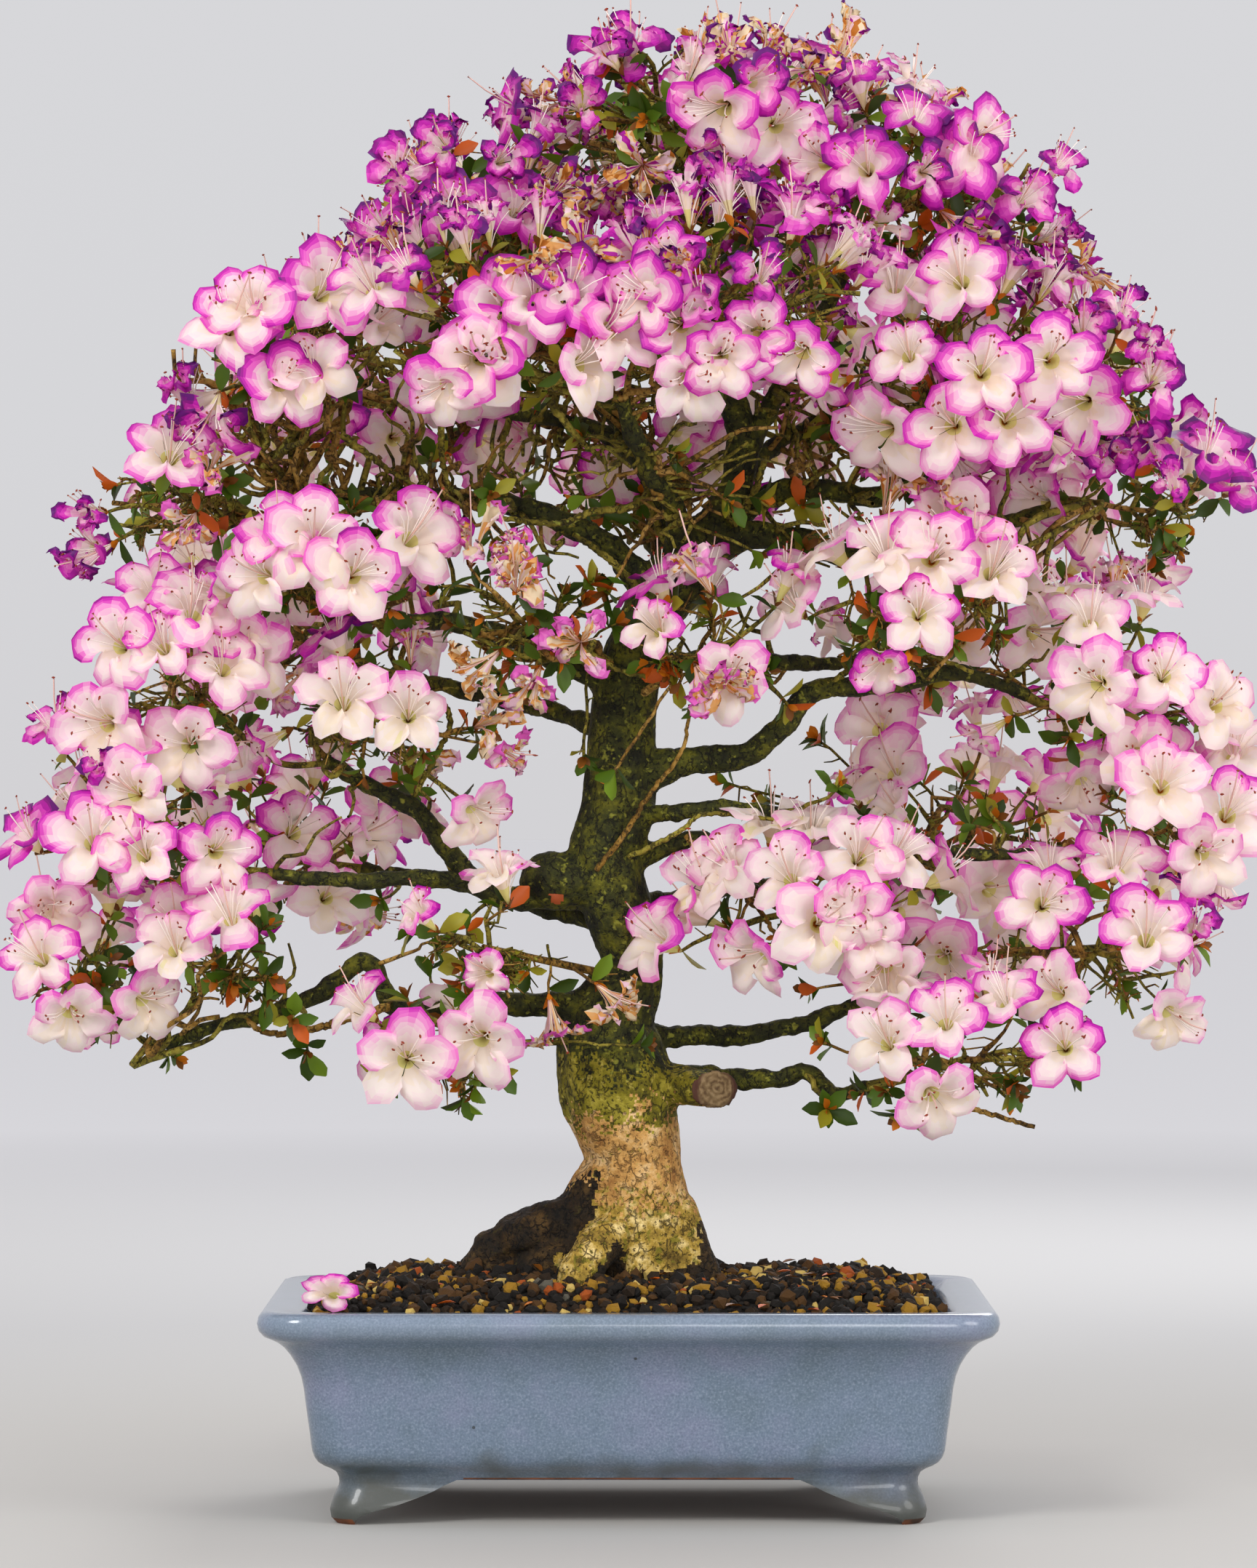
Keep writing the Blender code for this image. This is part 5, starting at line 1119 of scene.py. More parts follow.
random_tips = np.random.default_rng(1801)
tips = [[] for _ in MASSES]
taken = [np.array((9.0, 9.0, 9.0))]
for kind, places in SEEN.items():
    to_front, outward, upward, loose = SEEN_FACING[kind]
    for x, z in places:
        number, place = front_place(x * MM, z * MM)
        out = unit((place - CENTRES[number]) / REACHES[number] ** 2)
        facing = unit(CAMERA_PLACE - place) * to_front + out * outward + random_tips.uniform(-loose, loose, 3)
        tips[number].append((place, unit(facing + (0, 0, upward)), 1.0, kind))
        taken.append(place)
for x, z in SEEN_LEAFY:
    number, place = front_place(x * MM, z * MM)
    tips[number].append((place, unit(CAMERA_PLACE - place), 0.0, "leafy"))
for number, (centre, reach) in enumerate(zip(CENTRES, REACHES)):
    inward = unit(np.array((SHIFT[0], SHIFT[1], centre[2])) - centre)
    for _ in range(SHADED * (2 if UNDER_CROWN[0] < centre[2] < UNDER_CROWN[1] else 1)):
        out = unit(random_tips.normal(size=3) - (0, 0, 0.7))
        place = centre + out * reach * random_tips.uniform(0.35, 0.85)
        if own_side(number, place) > 0 and clear_of_limbs(place, LIMB_ROOM / 2):
            tips[number].append((place, out, BARE, ""))
    for _ in range(TIP_TRIES):
        out = unit(random_tips.normal(size=3))
        free_side = centre[1] > BEHIND or centre[2] > CROWN_FROM
        if out[2] < LOWEST_FACING or out.dot(inward) > (1.0 if free_side else INWARD_FACING):
            continue
        far_out = out * reach * random_tips.uniform(*SHELL)
        in_crown = centre[2] + far_out[2] > CROWN_FROM
        lift, loose = (CROWN_LIFT, CROWN_LOOSE) if in_crown else (TIP_LIFT, TIP_LOOSE)
        facing = unit(out / reach) + (0, 0, lift) - inward * TIP_LIFT
        facing = unit(facing + random_tips.uniform(-loose, loose, 3))
        if out.dot(inward) > INWARD_FACING:
            facing = unit(out + random_tips.uniform(-0.5, 0.5, 3))
        drawn_in = [share for share in DRAWN_IN
                    if in_outline(centre + far_out * share + facing * PETAL_DEPTH)]
        if not drawn_in:
            continue
        place = centre + far_out * drawn_in[0]
        spacing = CROWN_SPACING if place[2] > CROWN_FROM else TIP_SPACING
        if np.linalg.norm(np.array(taken) - place, axis=1).min() < spacing:
            continue
        if own_side(number, place) < NEIGHBOUR_ROOM or not clear_of_limbs(place, LIMB_ROOM):
            continue
        taken.append(place)
        bare = in_thin_part(place) and random_tips.random() < THIN_SHARE
        tips[number].append((place, facing, out[2], "leafy" if bare else ""))
print(sum(map(len, tips)), "tips in", len(tips), "masses")

# %% [markdown]
# ## Twigs
#
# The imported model's rule is used again: every tip, and some forks between the middle and the tips,
# joins the nearest twig, but pays for the way back to the stem, which gives branching as in a real
# shrub. A twig is as thick as the tips that it carries ask for. Each run from a fork to a tip is one
# bent tube, and short bare spurs stand on it, left from older blossom. Old crooked limbs without
# blossom cross below the upper masses, and side twigs leave the boughs. A twig's bark is thin and
# takes one of two finishes, olive or brown, dealt out at random.
# %% Grow the twigs
TWIG_TIP = 1.05 * MM
TWIG_POWER = 0.50
TWIG_STEP = 8 * MM
PATH_COST = 0.35
FORKS = (0.40, 0.62)
STEM_PART, TWIN_PART, TWIN_SPREAD, STEM_SUNK = 0.85, 0.46, 0.6, 2 * MM
STEM_BENDS, STEM_SWING, STEM_TAPER = (0.30, 0.65), 0.08, 0.62
TRUNK_STEM_RADIUS = 3.1 * MM
KINK = 1.2 * MM
FORKED = 0.6  # the share of tips that have a fork of their own
SPUR_LENGTH, SPUR_RADII = (7, 20), (0.8, 0.65, 0.45)
THICKET = np.array(((-0.27, -0.10, 0.595), (0.15, 0.13, 0.705)))
THICKET_TRIES = 210
THICKET_REACH = (15 * MM, 110 * MM)
CROOK = 9 * MM
SIDE_SPACING, CROWN_SIDE_SPACING = 36 * MM, 12 * MM
CROWN_SIDES_FROM = 0.56
SIDE_LENGTH, SIDE_BEND = (25, 75), 6 * MM
SIDE_DEPTH = 0.19  # side twigs end within this distance of the plane through the trunk
LEAFY_SIDES, BROWN_TWIGS = 0.4, 0.4


def stem_of(name):
    """A mass's own stem, from its bough's end to its middle."""
    carrier, centre, _ = MASSES[name]
    centre = np.array(centre) + SHIFT
    if carrier == "trunk":
        start = at_height(paths["trunk"], TRUNK_STEMS[name])
        along, room, sharers = unit(centre - start), TRUNK_STEM_RADIUS / STEM_PART, [name]
    else:
        start, along = paths[carrier][-1], unit(paths[carrier][-1] - paths[carrier][-2])
        room, sharers = BOUGHS[carrier][4], [other for other in MASSES if MASSES[other][0] == carrier]
    radius = room * STEM_PART
    if len(sharers) > 1:
        apart = np.subtract(MASSES[sharers[0]][1], MASSES[sharers[1]][1]) * (1 if name == sharers[0] else -1)
        aside = unit(apart - along * apart.dot(along))
        radius = room * TWIN_PART
        start = start + aside * (room - radius)
        along = unit(along + aside * TWIN_SPREAD)
    reach = along * np.linalg.norm(centre - start)
    bend = start + (centre - start) * STEM_BENDS[1] + reach * STEM_SWING
    path = smooth_path((start - along * STEM_SUNK * 3, start + reach * STEM_BENDS[0], bend, centre), 24)
    return path, np.linspace(radius, max(radius * STEM_TAPER, TWIG_TIP * 1.6), 24)


def join_tips(roots, ends, forks):
    """Links every point to the stem by the cheapest twigs: returns points and parents."""
    points = np.vstack((roots, ends, forks)) if len(forks) else np.vstack((roots, ends))
    first, last = len(roots), len(roots) + len(ends)
    parent = np.arange(-1, len(points) - 1)
    way = np.zeros(len(points))
    way[1:first] = np.cumsum(np.linalg.norm(np.diff(roots, axis=0), axis=1))
    cost = np.full(len(points), np.inf)
    fresh = list(range(first))
    done = np.zeros(len(points), bool)
    done[:first] = True
    while True:
        for j in fresh:
            length = np.linalg.norm(points - points[j], axis=1)
            better = ~done & (length + PATH_COST * way[j] < cost)
            cost[better] = (length + PATH_COST * way[j])[better]
            parent[better] = j
        if done.all():
            return points, parent
        k = int(np.where(done, np.inf, cost).argmin())
        done[k] = True
        way[k] = way[parent[k]] + np.linalg.norm(points[k] - points[parent[k]])
        fresh = [] if first <= k < last else [k]


def crooked(start, end, stations):
    """A crooked line, by random steps aside, from one place to another."""
    ways = start + (end - start) * np.linspace(0, 1, 6)[:, None]
    ways[1:5] += random_tips.uniform(-CROOK, CROOK, (4, 3))
    return smooth_path(ways, stations)


twigs = []
shoots = []  # where each twig ends, which way it runs, which way it faces, its mass, its height on it
for number, name in enumerate(mass_names):
    stem, stem_radii = stem_of(name)
    twigs.append(tube(stem, stem_radii, 7))
    roots = stem[10::3]
    ends = np.array([tip[0] for tip in tips[number]])
    count = len(ends)
    share = random_tips.uniform(*FORKS, size=(count, 1))
    forks = CENTRES[number] + (ends - CENTRES[number]) * share + random_tips.uniform(-7, 7, (count, 3)) * MM
    forks = forks[random_tips.random(count) < FORKED]
    points, parent = join_tips(roots, ends, forks)
    first, last = len(roots), len(roots) + count
    load = np.zeros(len(points))
    heir = {}
    for tip in range(first, last):
        at = tip
        while at >= first:
            load[at] += 1
            heir.setdefault(parent[at], at)
            at = parent[at]
        load[at] += 1
    for tip in range(first, last):
        chain = [tip]
        while chain[0] >= first:
            below = parent[chain[0]]
            chain.insert(0, below)
            if heir[below] != chain[1] or below < first:
                break
        radii = TWIG_TIP * np.maximum(load[chain], 1) ** TWIG_POWER
        radii = np.minimum(radii, stem_radii[-1])
        radii[0] = radii[1]
        length = np.linalg.norm(np.diff(points[chain], axis=0), axis=1).sum()
        stations = max(4, int(length / TWIG_STEP))
        way = smooth_path(points[chain], stations)
        way[1:-1] += random_tips.uniform(-KINK, KINK, (stations - 2, 3))
        widths_here = np.interp(np.linspace(0, 1, stations), np.linspace(0, 1, len(chain)), radii)
        twigs.append(tube(way, widths_here, 5 if radii[0] > 1.6 * MM else 4))
        place, facing, up, kind = tips[number][tip - first]
        shoots.append((place, unit(way[-1] - way[-2]), facing, number, up, kind))
        for _ in range(2):
            k = random_tips.integers(1, stations - 1)
            spur = unit(random_tips.normal(size=3) + unit(way[k] - CENTRES[number]) * 0.8)
            long = random_tips.uniform(*SPUR_LENGTH) * MM
            bend = random_tips.uniform(-2, 2, 3) * MM
            line = np.array((way[k], way[k] + spur * long / 2 + bend, way[k] + spur * long))
            if clear_of_limbs(line[-1], 2 * MM):
                twigs.append(tube(line, np.array(SPUR_RADII) * MM, 3))
# crooked limbs without tips of their own that cross below the upper masses, and how many
CROSSING = {"front_left": 18, "front_right": 16, "upper_left": 18, "upper_right": 9, "left_tip": 7,
            "upper_back": 16, "mid_left": 6, "inner_left": 8, "mid_right": 4, "upper_back_left": 12,
            "upper_back_right": 8, "mid_left_inner": 4, "low_left_inner": 4, "crown_left": 8,
            "crown_right": 8, "apex": 8}
for name, count in CROSSING.items():
    number = mass_names.index("mass_" + name)
    stem, _ = stem_of("mass_" + name)
    for _ in range(count):
        start = stem[random_tips.integers(2, 14)]
        out = unit(random_tips.normal(size=3) * (1.0, 0.7, 0.45) - (0, 0.15, 0.55))
        end = CENTRES[number] + out * REACHES[number] * random_tips.uniform(0.6, 0.95)
        line = crooked(start, end, 18)
        thick = random_tips.uniform(1.7, 3.1) * MM
        radii = np.linspace(thick, thick * 0.5, 18) * random_tips.uniform(0.85, 1.15, 18)
        twigs.append(tube(line, radii, 6))
# small limbs that the photograph shows plainly: points sideways, back and up, and the thick end
SMALL_LIMBS = (
    (((-148, -14, 312), (-171, -18, 306), (-193, -20, 299), (-224, -16, 295), (-240, -12, 305)), 3.0),
    (((-175, -30, 530), (-155, -34, 522), (-135, -32, 514), (-118, -30, 504), (-111, -24, 489),
      (-118, -20, 472), (-135, -12, 440)), 2.5),
    (((14, -8, 560), (4, -16, 575), (-15, -22, 593), (-34, -30, 606)), 3.0),
    (((-40, -58, 541), (-26, -54, 533), (-3, -50, 520), (23, -48, 517), (50, -48, 523), (69, -50, 535)), 1.8),
    (((150, -16, 262), (180, -28, 254), (212, -36, 249), (252, -40, 238)), 2.4),
    (((148, -14, 590), (150, -26, 557), (147, -30, 514)), 1.7),
    (((34, 0, 590), (18, -14, 612), (10, -30, 640)), 3.2),
    (((60, 0, 610), (76, -10, 628), (86, -22, 655)), 3.2),
    (((-229, -30, 616), (-195, -34, 615), (-163, -34, 623), (-133, -26, 633)), 3.0),
    (((-178, -50, 667), (-155, -40, 650), (-133, -28, 636)), 2.5),
    (((-115, -60, 676), (-116, -46, 656), (-112, -28, 634)), 2.4),
    (((-49, -70, 686), (-34, -56, 668), (-14, -30, 650)), 2.6),
    (((15, -34, 633), (0, -40, 622), (-21, -42, 620), (-44, -44, 612), (-80, -40, 616)), 2.8),
    (((0, -22, 405), (14, -28, 412), (33, -34, 422), (48, -38, 432), (90, -42, 429), (134, -44, 432)), 1.8),
    (((-20, -24, 397), (-1, -30, 422), (14, -34, 446), (33, -38, 471), (38, -40, 500)), 1.9),
    (((36, -8, 418), (52, -16, 398), (76, -24, 380), (92, -30, 356)), 2.4),
    (((118, -12, 508), (150, -22, 530), (176, -34, 534), (214, -40, 520)), 2.2),
    (((-150, -12, 554), (-172, -30, 560), (-206, -44, 566)), 2.6),
)
for points, thick in SMALL_LIMBS:
    line = smooth_path(np.array(points) * MM + SHIFT, 12 * len(points))
    line[1:-1] += random_tips.uniform(-0.6, 0.6, (len(line) - 2, 3)) * MM
    twigs.append(tube(line, np.linspace(thick, thick * 0.6, len(line)) * MM, 7))
# a thicket of bare, crooked twigs below the crown, each from the limb nearest to its end
for _ in range(THICKET_TRIES):
    end = random_tips.uniform(*THICKET) + SHIFT
    start, _, far = limb_tree.find(end)
    if THICKET_REACH[0] < far < THICKET_REACH[1] and in_outline(end):
        line = crooked(np.array(start), end, 12)
        thick = random_tips.uniform(1.3, 2.6) * MM
        twigs.append(tube(line, np.linspace(thick, thick * 0.5, 12), 5))
# side twigs on the boughs, closer together under the crown; some end in leaves
for name in BOUGHS:
    path, radii = paths[name], widths[name]
    spacing = CROWN_SIDE_SPACING if path[-1][2] > CROWN_SIDES_FROM else SIDE_SPACING
    for _ in range(int(len(path) * PATH_STEP / spacing)):
        k = random_tips.integers(len(path) // 4, len(path))
        way = unit(random_tips.normal(size=3) * (1.0, 1.0, 0.7) + (0, -0.3, 0.25))
        long = random_tips.uniform(*SIDE_LENGTH) * MM
        line = path[k] + way * long * np.linspace(0, 1, 6)[:, None]
        line[1:] += np.cumsum(random_tips.uniform(-SIDE_BEND, SIDE_BEND, (5, 3)), axis=0)
        if not clear_of_limbs(line[-1], 4 * MM) or not in_outline(line[-1]) or abs(line[-1][1]) > SIDE_DEPTH:
            continue
        thick = min(radii[k] * 0.45, random_tips.uniform(1.5, 2.4) * MM)
        twigs.append(tube(smooth_path(line, 10), np.linspace(thick, thick * 0.45, 10), 5))
        if random_tips.random() < LEAFY_SIDES:
            shoots.append((line[-1], unit(line[-1] - line[-2]), way, 0, 0.0, "leafy"))
olive_twig = bark_finish("olive_twig_bark", ("#3e3806", "#746818", "#aa9c3c"), "#a4a840", 0.38)
brown_twig = bark_finish("brown_twig_bark", ("#46300c", "#8a6620", "#c49c50"), "#b4a048", 0.36)
twig_parts = [(points, faces, int(random_tips.random() < BROWN_TWIGS)) for points, faces in twigs]
half = len(twig_parts) // 2
new_piece("twigs_high", twig_parts[:half], (olive_twig, brown_twig))
new_piece("twigs_low", twig_parts[half:], (olive_twig, brown_twig))
print(len(shoots), "shoots")

# %% [markdown]
# ## Petals
#
# An azalea's corolla is one funnel, split into five lobes that overlap and ruffle at their edges.
# The flesh is thin and moist: soft, with a slight sheen, and light shines through it. On this plant
# the throat is cream with a touch of green, the middle white to blush, and the edge magenta. Each
# face of a lobe takes a plain colour from one row, further along it towards the lobe's edge. Between
# two named colours lies one half-way step, so that the edge fades without bands. Spent ones turn
# peach and tan.
# %% Petal finishes
LIVE_PETALS = {
    "olive_cream_throat": "#ece694", "cream_petal": "#faead2", "white_petal": "#fceee6",
    "faint_blush_petal": "#fde6e6", "blush_petal": "#fcd2e2", "rose_petal": "#f9acda",
    "pink_petal": "#f27ace", "orchid_petal": "#e44cc2", "bright_orchid_petal": "#d228b6",
    "magenta_petal": "#b60ea2", "violet_magenta_petal": "#8e0a84", "purple_petal": "#681076",
}
SPENT_PETALS = {"spent_cream_petal": "#f8e2ba", "spent_peach_petal": "#f0b266", "spent_tan_petal": "#c87a2a"}
PETAL_LIGHT, LEAF_LIGHT = 0.38, 0.2  # the shares of light that shine through


def thin_flesh(name, colour, through):
    """Soft, slightly shiny flesh that lets a share of the light through."""
    finish, tree, shader = new_finish(name, Base_Color=colour, Roughness=0.46, IOR=1.4)
    shine = add(tree, "BsdfTranslucent", {"Color": colour})
    both = add(tree, "MixShader", {0: through, 1: shader, 2: shine})
    plug(tree, tree.nodes["Material Output"], {"Surface": both})
    return finish


petal_finishes = []
steps = list(LIVE_PETALS.items())
for (name, colour), (_, following) in zip(steps, steps[1:] + steps[-1:]):
    halfway = tuple((a + b) / 2 for a, b in zip(linear(colour), linear(following)))
    petal_finishes += [thin_flesh(name, linear(colour), PETAL_LIGHT),
                       thin_flesh(name + "_deeper", halfway, PETAL_LIGHT)]
LIVE = SPENT = len(petal_finishes)  # the live colours end, and the spent ones start
petal_finishes += [thin_flesh(name, linear(colour), PETAL_LIGHT) for name, colour in SPENT_PETALS.items()]

# %% [markdown]
# ## Blossoms
#
# A lobe is a grid of ten points across and ten out from the throat. The funnel's depth follows a
# profile, the rim is scalloped, each lobe tilts by itself, laps over the next and ruffles more
# towards its edge. The grid's rows are pushed about a little, so that no ring of colour shows. The
# upper lobes are rounder and more strongly edged. The lower ones come to a point and bend back.
# Four families differ in where the colour starts: pale ones low inside the plant, dark ones near
# the top. A half-open or furled blossom is narrower and deeper. A wilting or spent one hangs limp
# and is crumpled.
# %% Shape the blossoms
LOBES = np.arange(5)[:, None, None]
UPPER = np.array((1.0, 0.5, -1.0, -1.0, 0.5))[:, None, None]  # how high each lobe stands in its blossom
ACROSS = np.array((-1, -0.86, -0.64, -0.39, -0.13, 0.13, 0.39, 0.64, 0.86, 1))[None, :, None]
LOBE_POINTS = ACROSS.shape[1]
OUT = np.array((0.03, 0.17, 0.35, 0.50, 0.63, 0.74, 0.83, 0.90, 0.955, 1.0))[None, None, :]
RINGS = OUT.shape[2]
# how far each row's points are pushed in or out, so that a colour's edge isn't a ring
FEATHER = np.array((0.0, 0.0, 0.03, 0.04, 0.04, 0.035, 0.03, 0.025, 0.015, 0.0))
FUNNEL_DEPTH = 25 * MM
FUNNEL_AT = (0, 0.03, 0.08, 0.14, 0.30, 0.47, 0.62, 0.80, 1)
FUNNEL_RISE = (0, 0, 0.10, 0.40, 0.68, 0.84, 0.93, 1.0, 0.97)
# a family of blossoms: places on the ramp at the throat, at a third, two thirds, near and at the edge
EDGE_AT = (0.09, 0.25, 0.52, 0.72, 0.88, 1.0)
FAMILIES = {
    "pale": (0.0, 1.4, 2.1, 2.8, 3.8, 5.2),
    "rimmed": (0.0, 1.5, 2.3, 3.3, 5.0, 7.2),
    "edged": (0.0, 1.4, 2.2, 3.9, 6.0, 8.2),
    "dark": (0.5, 2.6, 4.8, 7.0, 9.0, 10.6),
}
# a spent blossom's own colours by their places in the list, and how dark the rest of it may be
SPENT_LOOKS, SPENT_DARKEST = (7, 18, SPENT, SPENT + 1, SPENT + 2), 22
LOW_SPENT_LOOKS, LOW_SPENT_DARKEST = (5, 8, SPENT, SPENT + 1, SPENT + 2), 13
SPENT_SHARES, SPENT_RANGE = (0.12, 0.12, 0.38, 0.28, 0.10), 9
# how wide and deep a corolla stands, how wide its lobes are, how far they hang loose and how crumpled
STATES = {"open": (1.0, 1.0, 1.0, 0.0, 0.0), "half": (0.70, 1.3, 1.0, 0.0, 0.0),
          "wilting": (0.74, 1.15, 0.90, 8 * MM, 0.8 * MM), "furled": (0.50, 1.45, 0.95, 7 * MM, 0.9 * MM),
          "spent": (0.60, 1.25, 0.70, 9 * MM, 1.3 * MM)}
lobe_grid = grid_faces(LOBE_POINTS, RINGS, False)
blossom_faces = np.vstack([lobe_grid + k * LOBE_POINTS * RINGS for k in range(5)])
face_out = np.tile(((OUT[0, 0, 1:] + OUT[0, 0, :-1]) / 2)[None, :], (LOBE_POINTS - 1, 1))
face_across = np.tile(np.abs((ACROSS[0, 1:, 0] + ACROSS[0, :-1, 0]) / 2)[:, None], (1, RINGS - 1))
face_edge = (face_out - 0.05 * face_across ** 3 * face_out ** 2).ravel()
PER_LOBE = len(face_edge)
petal_random = np.random.default_rng(77)


def ripples(fewest, most):
    """Ripples across each of the five lobes, of a random number and start."""
    number = petal_random.uniform(fewest, most, (5, 1, 1))
    return np.sin(ACROSS * number + petal_random.uniform(0, 6.3, (5, 1, 1)))


def blossom(place, facing, roll, size, state, family):
    """A corolla's points, its faces and each face's place in the list of petal finishes."""
    rng = petal_random
    wide, deep, full, loose, crumple = STATES[state]
    out = OUT + rng.uniform(-1, 1, (5, LOBE_POINTS, RINGS)) * FEATHER
    blend = np.minimum(1, (out / 0.55) ** 2)
    skew = ACROSS + rng.uniform(-0.16, 0.16, (5, 1, 1)) * (1 - ACROSS ** 2)
    scallop = 1 - (0.34 * np.abs(skew) ** 2.2 + (0.13 - 0.08 * UPPER) * np.abs(skew)) * blend
    scallop = scallop + 0.03 * ripples(9, 14) * out ** 6
    lobe_width = rng.uniform(0.88, 1.08, (5, 1, 1)) * full
    angle = np.radians(72) * LOBES + ACROSS * np.radians(36) * (1 + 0.30 * out ** 2) * lobe_width
    angle = angle + rng.normal(0, 0.08, (5, 1, 1)) * out
    long = rng.uniform(0.87, 1.09, (5, 1, 1)) - 0.03 * UPPER
    radius = out * PETAL_RADIUS * wide * scallop * (1 + (long - 1) * blend)
    rise = np.interp(out, FUNNEL_AT, FUNNEL_RISE) * FUNNEL_DEPTH * deep
    tilt = (rng.uniform(-5.0, 3.0, (5, 1, 1)) + 2.6 * UPPER) * MM * out ** 2
    lap = 1.4 * MM * ACROSS * out ** 2
    ruffle = rng.uniform(1.4, 3.0) * MM * out ** 3 * ripples(3, 5)
    frill = rng.uniform(0.5, 1.3) * MM * out ** 6 * ripples(7, 10)
    curl = -rng.uniform(0.0, 4.5, (5, 1, 1)) * MM * out ** 5
    crease = -1.0 * MM * (1 - np.abs(ACROSS)) ** 4 * out
    z = rise + tilt + lap + ruffle + frill + curl + crease
    x, y = radius * np.cos(angle), radius * np.sin(angle)
    points = np.stack(np.broadcast_arrays(x, y, z), axis=-1).reshape(-1, 3)
    if crumple:
        limp = (OUT ** 1.5 * np.ones((5, LOBE_POINTS, 1))).reshape(-1, 1)
        hang = np.repeat(rng.uniform(-loose, loose, (5, 3)), LOBE_POINTS * RINGS, axis=0)
        points += (rng.normal(0, crumple, points.shape) + hang) * limp
    points = points @ turned(facing, roll).T * size + place
    shade = np.interp(face_edge, EDGE_AT, FAMILIES[family])
    streaks = np.repeat(rng.normal(0, 0.6, (5, LOBE_POINTS - 1)), RINGS - 1)
    uneven = rng.normal(0, 0.5) + np.repeat(rng.normal(0, 0.5, 5), PER_LOBE) + streaks
    fringe = np.repeat(UPPER.ravel(), PER_LOBE) * 1.5 + rng.uniform(-0.45, 0.45, 5 * PER_LOBE)
    shade = np.tile(shade, 5) + (uneven + fringe) * np.tile(face_edge, 5) ** 1.6
    look = np.clip(np.round(shade * 2), 0, LIVE - 1).astype(int)
    if state == "spent":
        faded = np.tile(face_edge, 5) < rng.uniform(0.65, 1.05)
        high = place[2] > CROWN_FROM
        choices, darkest = (SPENT_LOOKS, SPENT_DARKEST) if high else (LOW_SPENT_LOOKS, LOW_SPENT_DARKEST)
        withered = rng.choice(choices, (5, LOBE_POINTS - 1, 3), p=SPENT_SHARES).repeat((RINGS - 1) // 3, axis=2)
        look = np.where(faded, withered.ravel(), np.clip(look, darkest - SPENT_RANGE, darkest))
    return points, blossom_faces, look


def stamens():
    """Six thin filaments with dark tips round a longer style, as three-sided tubes."""
    parts = []
    for k in range(7):
        style = k == 6
        long = petal_random.uniform(0.84, 1.0) * STYLE_REACH if style else petal_random.uniform(27, 35) * MM
        turn = petal_random.uniform(-1.5, 1.5) if not style else 0.0
        spread = petal_random.uniform(8, 19) * MM
        foot = np.array((0, 0, 2 * MM))
        lean = np.array((math.cos(turn), math.sin(turn), 0)) * spread
        line = np.array([foot + lean * out + (0, 0, long * up)
                         for out, up in ((0, 0), (0.25, 0.4), (0.6, 0.75), (1, 1))])
        thick = np.array((0.5, 0.46, 0.42, 0.36)) * (1.35 if style else 1.0) * MM
        parts.append((*tube(line, thick, 3), 2 if style else 0))
        askew = petal_random.uniform(-1, 1, 3) * MM
        tip = np.array((line[-1] - askew, line[-1] + (0, 0, 0.5 * MM), line[-1] + askew + (0, 0, MM)))
        parts.append((*tube(tip, np.array((0.4, 0.85, 0.35)) * MM, 3), 1))
    return parts


STAMEN_SETS = [stamens() for _ in range(8)]
SPENT_STAMENS, BACK_STAMENS = 4, 8  # parts of a set that these keep: a stamen is two parts
BACK_FROM = 0.06  # behind this place stamens are fewer, and nearly every shoot bears a blossom
FACING_SHARES = ((-0.1, 0.95), (-0.4, 0.65), (-math.inf, 0.35))  # lower on a mass fewer shoots bear one
LARGER = {"edged": 1.08, "pale": 1.08, "spent": 1.08}
# the shares of the four families
CROWN_CHANCES, BACK_CHANCES = (0.0, 0.05, 0.15, 0.80), (0.25, 0.40, 0.25, 0.10)
UPPER_CHANCES, LOWER_CHANCES = (0.24, 0.34, 0.32, 0.10), (0.45, 0.37, 0.16, 0.02)
UPPER_FROM = 0.5
CROWN_STATES, STATE_SHARES = ("furled", "wilting", "open"), (0.42, 0.46, 0.12)
BARE_TUFTS = 0.25  # the share of shaded bare twigs that end in leaves
GROUPS = {
    "crown": ("apex", "crown_left", "crown_right", "crown_back"),
    "front": ("front_left", "front_right", "inner_left", "inner_right", "upper_back"),
    "upper_left": ("upper_left", "left_tip", "upper_back_left", "mid_left"),
    "upper_right": ("upper_right", "upper_right_far", "right_tip", "mid_right", "upper_back_right"),
    "left": ("mid_left_back", "mid_left_outer", "mid_left_inner", "low_left", "low_left_outer",
             "low_left_inner", "low_left_back", "small_left", "sprig_left"),
    "right": ("mid_right_outer", "right_thin", "low_right", "low_right_outer", "low_right_front",
              "low_right_back", "mid_right_back"),
}
group_of = {mass_names.index("mass_" + short): group for group, members in GROUPS.items() for short in members}
petal_parts = {group: [] for group in GROUPS}
stamen_parts = []
leafy = []
blossom_count = 0
